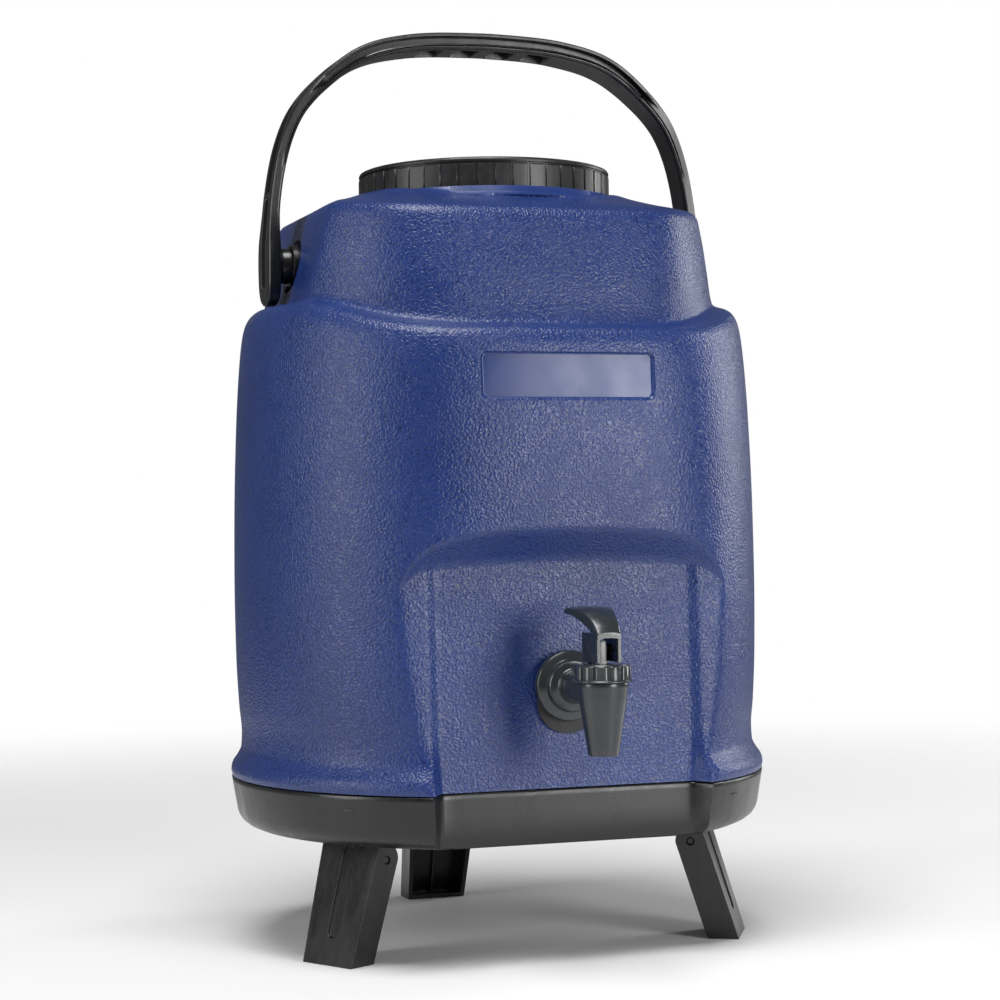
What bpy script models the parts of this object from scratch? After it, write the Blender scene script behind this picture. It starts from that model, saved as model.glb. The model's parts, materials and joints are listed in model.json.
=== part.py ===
"""Insulated beverage jug with a push-lever tap, screw cap, carrying bail and three folding legs.

Metres, +Z up, front of the jug faces -Y.  The floor is z = 0.  The jug's main axis stands at
x = 0, y = AXIS_Y, so that the world origin lies under the middle of the whole object.
"""
import math

import bmesh
import bpy

# ---------------------------------------------------------------- driving dimensions
AXIS_Y = 0.0163            # body axis behind the world origin
NECK_Y = 0.0090            # neck, cap and bail pivots sit this far behind the body axis
GAP = 0.0004               # running gap between neighbouring pieces

BODY_RADIUS = 0.1470       # widest part of the drum
FLANGE_RADIUS = 0.1500     # lip at the parting line
PARTING_Z = 0.0925         # blue shell above, black base below
BASE_Z = 0.0632            # underside of the base
FRONT_FLAT = 0.1288        # distance of the flattened front from the axis
SHELL_WALL = 0.0026
PANEL_DEPTH = 0.1170       # tap panel at the parting line, distance from the axis
PANEL_LEAN = 0.036         # the panel leans back by this much per metre of height
PANEL_HALF = 0.0705        # half width of the tap panel
CREST_HALF = 0.0755        # half width where the recess walls meet the wings
WING_DEPTH = 0.1180        # flat wings either side of the panel
RECESS_TOP = 0.2262
COLLAR_RADIUS = 0.0768
COLLAR_BORE = 0.0730
NECK_BORE = 0.0640

CAP_RADIUS = 0.0717
CAP_TOP = 0.4304
CAP_FOOT = 0.4126

PIVOT_Z = 0.3755
PIVOT_X = 0.1262           # middle of the bail's hub
BOSS_RADIUS = 0.0118
POCKET_BACK = 0.1042         # inner skin behind the round pockets at the pivots, before its inset

TAP_Z = 0.1375             # height of the tap's shank
TAP_Y = -0.1675            # outlet axis, from the body axis

LEG_ANGLES = (-60.0, 60.0, 180.0)
LEG_WIDTH = 0.0358
LEG_FLARE = 0.15           # the legs are this much wider at the hinge than at the foot
LEG_HINGE_R = 0.1120
LEG_HINGE_Z = 0.0540
LEG_SPLAY = math.radians(17.5)
LEG_OUT = 0.0088           # outer plate, out from the hinge
LEG_IN = 0.0085            # inner edge, in from the hinge


# ---------------------------------------------------------------- helpers
def clear_scene():
    """Start from an empty file."""
    for item in list(bpy.data.objects):
        bpy.data.objects.remove(item, do_unlink=True)
    for item in list(bpy.data.meshes):
        bpy.data.meshes.remove(item)


def material(name, colour, roughness, metallic=0.0):
    """A named Principled material."""
    mat = bpy.data.materials.new(name)
    mat.use_nodes = True
    shader = mat.node_tree.nodes["Principled BSDF"]
    shader.inputs["Base Color"].default_value = (*colour, 1.0)
    shader.inputs["Roughness"].default_value = roughness
    shader.inputs["Metallic"].default_value = metallic
    return mat


def make(name, verts, faces, mat, smooth=30.0):
    """A named object from vertices and faces, normals outward, shaded smooth by angle."""
    mesh = bpy.data.meshes.new(name)
    mesh.from_pydata([tuple(v) for v in verts], [], [tuple(f) for f in faces])
    obj = bpy.data.objects.new(name, mesh)
    bpy.context.scene.collection.objects.link(obj)
    tidy(obj, smooth)
    if mat is not None:
        obj.data.materials.append(mat)
    return obj


def tidy(obj, smooth=30.0):
    """Recalculate normals outward and shade smooth except across sharp edges."""
    work = bmesh.new()
    work.from_mesh(obj.data)
    bmesh.ops.remove_doubles(work, verts=work.verts, dist=2e-6)
    bmesh.ops.dissolve_degenerate(work, edges=work.edges, dist=2e-6)
    bmesh.ops.recalc_face_normals(work, faces=work.faces)
    for face in work.faces:
        face.smooth = smooth > 0.0
    for edge in work.edges:
        if len(edge.link_faces) == 2:
            edge.smooth = edge.calc_face_angle(3.2) < math.radians(smooth)
    work.to_mesh(obj.data)
    work.free()


def flatten_faces(obj):
    """Split every face into triangles, so that all faces are flat."""
    work = bmesh.new()
    work.from_mesh(obj.data)
    bmesh.ops.triangulate(work, faces=work.faces)
    work.to_mesh(obj.data)
    work.free()


def boolean(obj, cutter, operation="DIFFERENCE", smooth=30.0):
    """Combine obj with cutter exactly, keep the result in obj and drop the cutter."""
    flatten_faces(obj)
    flatten_faces(cutter)
    mod = obj.modifiers.new("cut", "BOOLEAN")
    mod.solver = "EXACT"
    mod.operation = operation
    mod.object = cutter
    bpy.context.view_layer.update()
    graph = bpy.context.evaluated_depsgraph_get()
    result = bpy.data.meshes.new_from_object(obj.evaluated_get(graph))
    obj.modifiers.clear()
    mats = list(obj.data.materials)
    obj.data = result
    obj.data.materials.clear()
    for mat in mats:
        obj.data.materials.append(mat)
    for face in obj.data.polygons:
        face.material_index = 0
    bpy.data.objects.remove(cutter, do_unlink=True)
    tidy(obj, smooth)
    return obj


def ring_faces(rows, count, closed_ends=True, loop=False):
    """Quads between rows of vertices; end rows capped, or the rows joined in a loop."""
    faces = []
    pairs = [(r, r + 1) for r in range(rows - 1)]
    if loop:
        pairs.append((rows - 1, 0))
    for low, high in pairs:
        for k in range(count):
            n = (k + 1) % count
            faces.append((low * count + k, low * count + n, high * count + n, high * count + k))
    if closed_ends and not loop:
        faces.append(tuple(range(count))[::-1])
        faces.append(tuple((rows - 1) * count + k for k in range(count)))
    return faces


def lathe(name, profile, mat, centre=(0.0, 0.0, 0.0), axis="Z", count=32, loop=False, smooth=30.0):
    """A turned piece: profile is (radius, height) pairs; loop joins last to first for a ring."""
    verts = []
    for radius, height in profile:
        for k in range(count):
            a = 2.0 * math.pi * k / count
            c, s = radius * math.cos(a), radius * math.sin(a)
            p = {"Z": (c, s, height), "X": (height, c, s), "Y": (s, height, c)}[axis]
            verts.append([p[i] + centre[i] for i in range(3)])
    return make(name, verts, ring_faces(len(profile), count, True, loop), mat, smooth)


def box(name, low, high, mat=None):
    """An axis-aligned box."""
    verts = [(x, y, z) for x in (low[0], high[0]) for y in (low[1], high[1]) for z in (low[2], high[2])]
    faces = [(0, 1, 3, 2), (4, 6, 7, 5), (0, 4, 5, 1), (2, 3, 7, 6), (0, 2, 6, 4), (1, 5, 7, 3)]
    return make(name, verts, faces, mat, 0.0)


def place(obj, origin, rotation_z=0.0):
    """Put the object's own origin at a world point, the mesh already being drawn about it."""
    obj.location = origin
    obj.rotation_euler = (0.0, 0.0, rotation_z)
    return obj


def smoothstep(t):
    """0..1 with flat ends."""
    t = min(max(t, 0.0), 1.0)
    return t * t * (3.0 - 2.0 * t)


# ---------------------------------------------------------------- body plan
def plan_radius(angle, radius, front, side, centre=0.0, power=22.0):
    """Polar radius of the plan: a circle flattened at the front and, if asked, at the sides."""
    s, c = math.sin(angle), math.cos(angle)
    circle = centre * s + math.sqrt(radius ** 2 - (centre * c) ** 2)
    terms = circle ** -power
    if front and s < -0.02:
        terms += (front / -s) ** -power
    r = terms ** (-1.0 / power)
    return min(r, side / max(abs(c), 1e-6)) if side else r


def body_row(angle, row, inset=0.0):
    """One point of a body row at one angle; a row is (z side, z front, radius, front, side, centre)."""
    z_side, z_front, radius, front, side, centre = row
    weight = smoothstep((-math.sin(angle) - 0.35) / 0.58)
    front = front - inset if front else front
    side = side - inset if side else side
    corner = 22.0 if centre < 0.004 else 40.0
    r = plan_radius(angle, radius - inset, front, side, centre, corner)
    return r, z_side + (z_front - z_side) * weight


def panel_y(z):
    """Distance of the tap panel from the axis at a height."""
    return PANEL_DEPTH - PANEL_LEAN * (z - PARTING_Z)


def ceiling_drop(x):
    """How far the arched top edge of the recess falls away from its middle height."""
    across = min(abs(x), 0.100)
    return 0.0028 * (across / 0.07) ** 2 + 0.016 * (max(across - 0.070, 0.0) / 0.028) ** 2


def recess_radius(angle, z, inset):
    """Polar radius of the tap recess: leaning panel, slanted walls, two wings and a sloping ceiling."""
    s, c = -math.sin(angle), abs(math.cos(angle))
    if s < 0.5:
        return 1.0
    flare = 0.45 * max(0.0, 0.1165 - z)
    panel, wing = panel_y(z) - inset, WING_DEPTH + flare - inset
    half, crest = PANEL_HALF + inset, CREST_HALF + inset
    r = panel / s
    if r * c > half:
        slope = (wing - panel) / (crest - half)
        r = min((panel - slope * half) / (s - slope * c) if s > slope * c else 1.0, 1.0)
        if r * c > crest or r >= 1.0 or r <= 0.0:
            r = wing / s
            if z < 0.1165 and r * c > crest:
                r = max(r, crest / c)
    top = RECESS_TOP + inset * 1.2 - ceiling_drop(WING_DEPTH * c / s)
    overhang = (0.1275 + (z - top) / 0.95) / s
    return max(r, overhang)


def body_ring(row, inset, columns, recess):
    """A closed ring of points round the body."""
    ring = []
    for angle in columns:
        r, z = body_row(angle, row, inset)
        if recess and row[0] < 0.26:
            s, c = -math.sin(angle), abs(math.cos(angle))
            if s > 0.5 and row[0] > 0.19:
                fade = smoothstep((0.26 - row[0]) / 0.03) * smoothstep((row[0] - 0.19) / 0.018)
                z -= fade * ceiling_drop(WING_DEPTH * c / s)
            r = min(r, recess_radius(angle, z, inset))
        ring.append((r * math.cos(angle), AXIS_Y + r * math.sin(angle), z))
    return ring


def circle_ring(radius, z, columns):
    """A plain ring about the neck's own axis, seen from the same columns."""
    ring = []
    for angle in columns:
        s, c = math.sin(angle), math.cos(angle)
        r = NECK_Y * s + math.sqrt(radius ** 2 - (NECK_Y * c) ** 2)
        ring.append((r * c, AXIS_Y + r * s, z))
    return ring


def columns_for(front, rest):
    """Angles round the body: chosen ones each side of the front, evenly spaced ones elsewhere."""
    angles = set()
    for degrees in front:
        for sign in (-1, 1):
            angles.add(round(-90.0 + sign * degrees, 4))
    edge = front[-1]
    span = 360.0 - 2.0 * edge
    for k in range(1, rest):
        angles.add(round(-90.0 + edge + span * k / rest, 4))
    return [math.radians(a) for a in sorted(angles)]


def solid(name, rings, mat, loop=False, smooth=30.0):
    """A closed solid skinned over rings that all have the same number of points."""
    verts = [point for ring in rings for point in ring]
    return make(name, verts, ring_faces(len(rings), len(rings[0]), True, loop), mat, smooth)


def between(low, high, z):
    """A row interpolated between two rows at a given side height."""
    t = (z - low[0]) / (high[0] - low[0])
    return tuple(a + (b - a) * t for a, b in zip(low, high))


def with_rows(rows, heights):
    """The rows with further ones interpolated at the given heights."""
    out = list(rows)
    for z in heights:
        for low, high in zip(rows[:-1], rows[1:]):
            if low[0] + 1e-5 < z < high[0] - 1e-5:
                out.append(between(low, high, z))
    return sorted(out, key=lambda row: row[0])


FRONT_COLUMNS = (0.0, 9.0, 18.0, 26.0, 30.6, 31.9, 32.7, 34.8, 36.8, 39.0, 43.0)

OUTER_ROWS = [
    (PARTING_Z, PARTING_Z, 0.1499, 0, 0, 0),
    (0.0955, 0.0955, 0.1502, 0, 0, 0),
    (0.0985, 0.0985, 0.1496, 0, 0, 0),
    (0.1030, 0.1030, 0.1466, 0.1466, 0, 0),
    (0.1080, 0.1080, 0.1444, 0.1400, 0, 0),
    (0.1165, 0.1165, 0.1440, 0.1330, 0, 0),
    (0.1300, 0.1300, 0.1452, 0.1296, 0, 0),
    (0.1600, 0.1600, 0.1466, FRONT_FLAT, 0, 0),
    (0.1950, 0.1950, BODY_RADIUS, FRONT_FLAT, 0, 0),
    (0.2350, 0.2350, 0.1466, FRONT_FLAT, 0, 0),
    (0.2850, 0.2800, 0.1450, 0.1281, 0, 0),
    (0.3200, 0.3110, 0.1428, 0.1272, 0, 0),
    (0.3370, 0.3235, 0.1408, 0.1262, 0, 0),
    (0.3430, 0.3285, 0.1392, 0.1247, 0, 0),
    (0.3475, 0.3318, 0.1365, 0.1222, 0, 0),
    (0.3502, 0.3335, 0.1330, 0.1186, 0, 0.002),
    (0.3512, 0.3345, 0.1310, 0.1120, 0.1230, 0.006),
    (0.3525, 0.3360, 0.1294, 0.1075, 0.1190, 0.008),
    (0.3560, 0.3400, 0.1286, 0.1056, 0.1178, NECK_Y),
    (0.3760, 0.3640, 0.1262, 0.1005, 0.1130, NECK_Y),
    (0.3960, 0.3880, 0.1234, 0.0948, 0.1090, NECK_Y),
    (0.4035, 0.3965, 0.1220, 0.0926, 0.1072, NECK_Y),
    (0.4075, 0.4010, 0.1190, 0.0900, 0.1050, NECK_Y),
    (0.4100, 0.4036, 0.1140, 0.0865, 0.1015, NECK_Y),
    (0.4140, 0.4072, 0.0980, 0.0800, 0.0950, NECK_Y),
    (0.4172, 0.4105, 0.0845, 0.0736, 0, NECK_Y),
    (0.4186, 0.4130, 0.0785, 0, 0, NECK_Y),
    (0.4191, 0.4137, COLLAR_RADIUS - 0.0008, 0, 0, NECK_Y),
]
RECESS_ROWS = (0.2100, 0.2160, 0.2215, 0.2262, 0.2285)

TANK_ROWS = [
    (0.1030, 0.1030, 0.1120, 0.0940, 0, 0), (0.1060, 0.1060, 0.1165, 0.0985, 0, 0),
    (0.2000, 0.2000, 0.1175, 0.0995, 0, 0), (0.3260, 0.3120, 0.1165, 0.0985, 0, 0),
    (0.3420, 0.3280, 0.1100, 0.0900, 0, 0.004), (0.3520, 0.3440, 0.1010, 0.0830, 0.0950, NECK_Y),
    (0.3860, 0.3800, 0.0960, 0.0800, 0.0920, NECK_Y), (0.3960, 0.3900, 0.0880, 0.0730, 0, NECK_Y),
    (0.4000, 0.3950, 0.0740, 0.0650, 0, NECK_Y),
]
TANK_WALL = 0.0020


def shank_hole(name, radius, near=-0.14, far=-0.08):
    """Cutter for the tap's shank, along Y through the panel."""
    hole = [(radius, near), (radius, far)]
    return lathe(name, hole, None, (0.0, AXIS_Y, TAP_Z), "Y", 24)


# ---------------------------------------------------------------- the body
def build_shell(mats):
    """Outer skin with the tap recess, shoulder, handle pockets and raised collar."""
    columns = columns_for(FRONT_COLUMNS, 34)
    rings = [body_ring(row, 0.0, columns, True) for row in with_rows(OUTER_ROWS, RECESS_ROWS)]
    rings.append(circle_ring(COLLAR_BORE + 0.0006, 0.4165, columns))
    rings.append(circle_ring(COLLAR_BORE, 0.4150, columns))
    rings.append(circle_ring(COLLAR_BORE, 0.4088, columns))
    rings.append(circle_ring(NECK_BORE, 0.4088, columns))
    rings.append(circle_ring(NECK_BORE, 0.4042, columns))
    keep = {0.0985, 0.1080, 0.1165, 0.1600, 0.1950, 0.2350, 0.2850, 0.3370, 0.3475, 0.3512, 0.3560,
            0.3760, 0.3960, 0.4035, 0.4075}
    inner = [row for row in OUTER_ROWS if row[0] in keep]
    extra = [row for row in with_rows(OUTER_ROWS, (0.2100, 0.2215, 0.2285)) if row[0] in (0.2100, 0.2215, 0.2285)]
    inner = sorted(inner + extra, key=lambda row: -row[0])
    inner = [(z - drop_under(z), f - drop_under(z), r, y, min(x, POCKET_BACK), c) for z, f, r, y, x, c in inner]
    rings.append(circle_ring(0.0800, 0.4042, columns))
    rings += [body_ring(row, SHELL_WALL, columns, True) for row in inner]
    rings.append(body_ring((PARTING_Z, PARTING_Z, 0.1490, 0, 0, 0), SHELL_WALL, columns, True))
    shell = solid("body_shell", rings, mats["blue"], loop=True)
    for sign in (-1, 1):
        pocket = [(0.0142, sign * 0.1042), (0.0150, sign * 0.1250)]
        boolean(shell, lathe("pocket_cut", pocket, None, (0, AXIS_Y + NECK_Y, PIVOT_Z), "X", 28))
    return boolean(shell, shank_hole("hole", 0.0098))


def drop_under(z):
    """Extra drop of the inner skin beneath sloping parts of the outer one."""
    return 0.0026 * smoothstep((z - 0.335) / 0.012)


def build_foam(mats):
    """Insulation filling the space between the outer skin and the tank."""
    columns = [2.0 * math.pi * (k + 0.5) / 40 for k in range(40)]
    inset = SHELL_WALL + 0.0022
    outer = [(0.0942, 0.0942, 0.1470, 0.1100, 0, 0), (0.1060, 0.1060, 0.1440, 0.1100, 0, 0),
             (0.1165, 0.1165, 0.1436, 0.1100, 0, 0), (0.1600, 0.1600, 0.1460, 0.1100, 0, 0),
             (0.2000, 0.2000, 0.1462, 0.1100, 0, 0), (0.2390, 0.2390, 0.1458, FRONT_FLAT, 0, 0),
             (0.2850, 0.2800, 0.1445, 0.1276, 0, 0), (0.3330, 0.3180, 0.1405, 0.1250, 0, 0),
             (0.3430, 0.3260, 0.1340, 0.1190, 0, 0), (0.3455, 0.3290, 0.1240, 0.1060, 0.1045, NECK_Y),
             (0.3700, 0.3560, 0.1230, 0.1010, 0.1045, NECK_Y), (0.3940, 0.3840, 0.1190, 0.0940, 0.1040, NECK_Y),
             (0.3995, 0.3905, 0.1100, 0.0880, 0.1000, NECK_Y)]
    rings = [body_ring(row, inset, columns, False) for row in outer]
    rings.append(circle_ring(0.0780, 0.4034, columns))
    rings.append(circle_ring(0.0640, 0.4034, columns))
    rings.append(circle_ring(0.0640, 0.4016, columns))
    for row in reversed(TANK_ROWS):
        lift = GAP if row[0] > 0.3 else -GAP if row[0] < 0.104 else 0.0
        rings.append(body_ring((row[0] + lift, row[1] + lift) + row[2:], -GAP, columns, False))
    foam = solid("insulation_foam", rings, mats["foam"])
    return boolean(foam, shank_hole("hole_f", 0.0098))


def build_tank(mats):
    """Inner liner: a hollow tank with a plain neck."""
    columns = [2.0 * math.pi * (k + 0.5) / 40 for k in range(40)]
    rings = [body_ring(row, 0.0, columns, False) for row in TANK_ROWS]
    rings.append(circle_ring(0.0632, 0.4012, columns))
    rings.append(circle_ring(0.0632, 0.4236, columns))
    rings.append(circle_ring(0.0600, 0.4236, columns))
    rings.append(circle_ring(0.0600, 0.3990, columns))
    for row in reversed(TANK_ROWS):
        if row[0] == 0.4000:
            rings.append(circle_ring(0.0640, 0.3950, columns))
            continue
        sink = TANK_WALL if row[0] > 0.33 else -TANK_WALL if row[0] < 0.2 else 0.0
        rings.append(body_ring((row[0] - sink, row[1] - sink) + row[2:], TANK_WALL, columns, False))
    tank = solid("tank_liner", rings, mats["white"])
    return boolean(tank, shank_hole("hole_t", 0.0098))


# ---------------------------------------------------------------- cap
def build_cap(mats):
    """Ribbed screw cap, its insulated plug and the sealing ring."""
    centre = (0.0, AXIS_Y + NECK_Y, 0.0)
    count = 64
    profile = [(0.0672, CAP_FOOT), (0.0712, CAP_FOOT), (CAP_RADIUS, CAP_FOOT + 0.001),
               (CAP_RADIUS, CAP_TOP - 0.0022), (CAP_RADIUS - 0.0006, CAP_TOP - 0.0007),
               (CAP_RADIUS - 0.0022, CAP_TOP), (0.0560, CAP_TOP), (0.0545, CAP_TOP - 0.0012),
               (0.0100, CAP_TOP - 0.0012), (0.0100, CAP_TOP - 0.0030), (0.0672, CAP_TOP - 0.0030)]
    verts = []
    for radius, height in profile:
        for k in range(count):
            a = 2.0 * math.pi * k / count
            verts.append((radius * math.cos(a), centre[1] + radius * math.sin(a), height))
    faces = ring_faces(len(profile) - 2, count, False)
    rows = len(profile)
    low_disc = tuple((rows - 2) * count + k for k in range(count))
    top_disc = tuple((rows - 3) * count + k for k in range(count))
    faces.append(top_disc)
    faces.append(low_disc[::-1])
    for k in range(count):
        n = (k + 1) % count
        faces.append(((rows - 2) * count + k, (rows - 2) * count + n, (rows - 1) * count + n, (rows - 1) * count + k))
        faces.append(((rows - 1) * count + k, (rows - 1) * count + n, n, k))
    cap = make("screw_cap", verts, faces, mats["black"])
    plug = [(0.0530, 0.3960), (0.0560, 0.3975), (0.0580, 0.4215), (0.0560, 0.4232), (0.0560, CAP_TOP - 0.0034)]
    lathe("cap_plug", plug, mats["white"], centre, "Z", 32)
    seal = [(0.0585, 0.4239), (0.0634, 0.4239), (0.0634, 0.4269), (0.0585, 0.4269)]
    lathe("cap_gasket", seal, mats["rubber"], centre, "Z", 36, loop=True)
    return cap


# ---------------------------------------------------------------- base and legs
def build_base(mats):
    """The black base tray with its hinge lugs."""
    outer = [(BASE_Z, 0.1350, 0.0030), (BASE_Z + 0.0006, 0.1415, 0.0018), (BASE_Z + 0.0020, 0.1450, 0.0008),
             (BASE_Z + 0.0045, 0.1464, 0.0), (0.0800, 0.1480, 0.0), (PARTING_Z - GAP, 0.1499, 0.0)]
    columns = columns_for(FRONT_COLUMNS, 30)
    rings = [tray_ring(z, radius, inset, columns) for z, radius, inset in outer]
    inner = [(PARTING_Z - GAP, 0.1500), (0.0710, 0.1468), (0.0672, 0.1430), (0.0660, 0.1400)]
    rings += [tray_ring(z, radius - 0.0030, 0.0030, columns) for z, radius in inner]
    tray = solid("base_tray", rings, mats["black"])
    for angle in LEG_ANGLES:
        for side in (-1, 1):
            lug = hinge_lug(side * 0.0115, 0.0030)
            turn_to(lug, angle)
            boolean(tray, lug, "UNION")
        pin = lathe("pin_hole", [(0.0023, -0.02), (0.0023, 0.02)], None, (0, -LEG_HINGE_R, LEG_HINGE_Z), "X", 16)
        turn_to(pin, angle)
        boolean(tray, pin)
    return tray


def tray_ring(z, radius, inset, columns):
    """A ring of the base tray: round, with the flat front notch carried down from the recess."""
    half, corner, front, nose = 0.0716 + inset, 0.0757 + inset, 0.1175 - inset, 0.1288
    ring = []
    for angle in columns:
        s, c = -math.sin(angle), abs(math.cos(angle))
        r = radius
        if s > 0.5:
            flat = front / s
            if flat * c > half:
                slope = (nose - front) / (corner - half)
                wall = (front - slope * half) / (s - slope * c) if abs(s - slope * c) > 1e-6 else 1.0
                flat = wall if 0.0 < wall * c < corner + 0.002 and wall > flat else 1.0
            r = min(radius, flat)
        ring.append((r * math.cos(angle), AXIS_Y + r * math.sin(angle), z))
    return ring


def turn_to(obj, angle):
    """Turn a piece drawn toward the front (-Y) about the body axis, then stand it on that axis."""
    a = math.radians(angle)
    c, s = math.cos(a), math.sin(a)
    for vert in obj.data.vertices:
        x, y = vert.co.x, vert.co.y
        vert.co.x = x * c - y * s
        vert.co.y = x * s + y * c + AXIS_Y
    return obj


def hinge_lug(x, thick):
    """A rounded lug under the base, drawn toward the front."""
    pts = [(0.0060, BASE_Z + 0.0015 - LEG_HINGE_Z), (-0.0016, BASE_Z + 0.0015 - LEG_HINGE_Z)]
    for k in range(9):
        a = math.pi + math.pi * k / 8
        pts.append((0.0048 * math.cos(a), 0.0048 * math.sin(a)))
    verts = []
    for dx in (-thick / 2, thick / 2):
        for v, w in pts:
            verts.append((x + dx, -LEG_HINGE_R + v, LEG_HINGE_Z + w))
    return make("lug", verts, ring_faces(2, len(pts)), None, 0.0)


def leg_outline():
    """Side outline of a leg in (outward, up) from the hinge, foot flat on the floor."""
    tan = math.tan(LEG_SPLAY)
    top = BASE_Z - LEG_HINGE_Z - 0.0006
    foot = -LEG_HINGE_Z
    pts = [(LEG_OUT - tan * top, top), (LEG_OUT - tan * foot, foot), (-LEG_IN - tan * foot, foot)]
    for k in range(6):
        a = math.radians(185 - k * 17)
        pts.append((0.0083 * math.cos(a), 0.0083 * math.sin(a)))
    return pts


def leg_width(up):
    """Width of a leg at a height above its hinge."""
    return LEG_WIDTH * (1.0 + LEG_FLARE * (up + LEG_HINGE_Z) / LEG_HINGE_Z)


def leg_slot(tan):
    """Cutter for the long sunk slot, round at its foot, on the outer plate."""
    half, low, high = 0.0046, -0.0355, 0.0060
    slot = [(half * math.cos(math.pi + math.pi * k / 8), low + half * math.sin(math.pi + math.pi * k / 8))
            for k in range(9)]
    slot += [(half, high), (-half, high)]
    verts = []
    for depth in (0.0010, -0.0200):
        for x, up in slot:
            verts.append((x, -(LEG_OUT - tan * up - depth), up))
    return make("slot", verts, ring_faces(2, len(slot)), None, 0.0)


def leg_channel(tan, wall):
    """Cutter that hollows a leg from its inner side, leaving side walls, outer plate and foot."""
    verts = []
    low, high = -LEG_HINGE_Z + wall, 0.03
    for out, up in ((LEG_OUT - wall - tan * high, high), (LEG_OUT - wall - tan * low, low), (-0.05, low),
                    (-0.05, high)):
        half = leg_width(up) / 2 - wall
        verts.append((-half, -out, up))
        verts.append((half, -out, up))
    faces = [(0, 2, 4, 6), (7, 5, 3, 1), (0, 1, 3, 2), (2, 3, 5, 4), (4, 5, 7, 6), (6, 7, 1, 0)]
    return make("channel", verts, faces, None, 0.0)


def build_legs(mats):
    """Three folding U-channel legs on hinge pins."""
    tan, wall = math.tan(LEG_SPLAY), 0.0026
    for index, angle in enumerate(LEG_ANGLES, 1):
        outline = leg_outline()
        verts = [(side * leg_width(up) / 2, -out, up) for side in (-1, 1) for out, up in outline]
        leg = make("leg_%d" % index, verts, ring_faces(2, len(outline)), mats["black"], 0.0)
        boolean(leg, leg_channel(tan, wall), smooth=0.0)
        boolean(leg, leg_slot(tan), smooth=0.0)
        hole = lathe("hole", [(0.0022, -0.03), (0.0022, 0.03)], None, (0, 0, 0), "X", 12)
        boolean(leg, hole, smooth=25.0)
        end = LEG_WIDTH * (1.0 + LEG_FLARE) / 2 - 0.0008
        pin = lathe("leg_pin_%d" % index, [(0.0016, -end), (0.0019, -end + 0.0004),
                                           (0.0019, end - 0.0004), (0.0016, end)],
                    mats["black"], (0, 0, 0), "X", 12)
        a = math.radians(angle)
        origin = (LEG_HINGE_R * math.sin(a), AXIS_Y - LEG_HINGE_R * math.cos(a), LEG_HINGE_Z)
        place(leg, origin, a)
        place(pin, origin, a)


# ---------------------------------------------------------------- bail handle
BAIL_PATH = [
    # outward, up from the pivot, width along Y, thickness
    (0.0000, -0.0222, 0.0100, 0.0052), (0.0000, -0.0205, 0.0170, 0.0064), (0.0000, -0.0165, 0.0225, 0.0072),
    (0.0000, -0.0100, 0.0260, 0.0074), (0.0000, 0.0000, 0.0272, 0.0074), (-0.0001, 0.0110, 0.0262, 0.0072),
    (-0.0005, 0.0210, 0.0226, 0.0066), (-0.0012, 0.0310, 0.0206, 0.0060), (-0.0030, 0.0450, 0.0200, 0.0060),
    (-0.0062, 0.0610, 0.0200, 0.0062), (-0.0103, 0.0740, 0.0204, 0.0064), (-0.0155, 0.0850, 0.0210, 0.0068),
    (-0.0225, 0.0945, 0.0218, 0.0074), (-0.0310, 0.1030, 0.0228, 0.0080), (-0.0405, 0.1110, 0.0238, 0.0086),
    (-0.0505, 0.1175, 0.0248, 0.0092), (-0.0620, 0.1222, 0.0256, 0.0096), (-0.0750, 0.1252, 0.0260, 0.0098),
    (-0.0880, 0.1272, 0.0262, 0.0098), (-0.1020, 0.1282, 0.0262, 0.0098), (-0.1150, 0.1286, 0.0262, 0.0098),
]


def bail_points():
    """The whole path from the left hub over the top to the right hub."""
    left = [(-(PIVOT_X + o), u, w, t) for o, u, w, t in BAIL_PATH]
    top = [(0.0, 0.1288, 0.0262, 0.0098)]
    right = [(-x, u, w, t) for x, u, w, t in reversed(left)]
    return left + top + right


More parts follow.
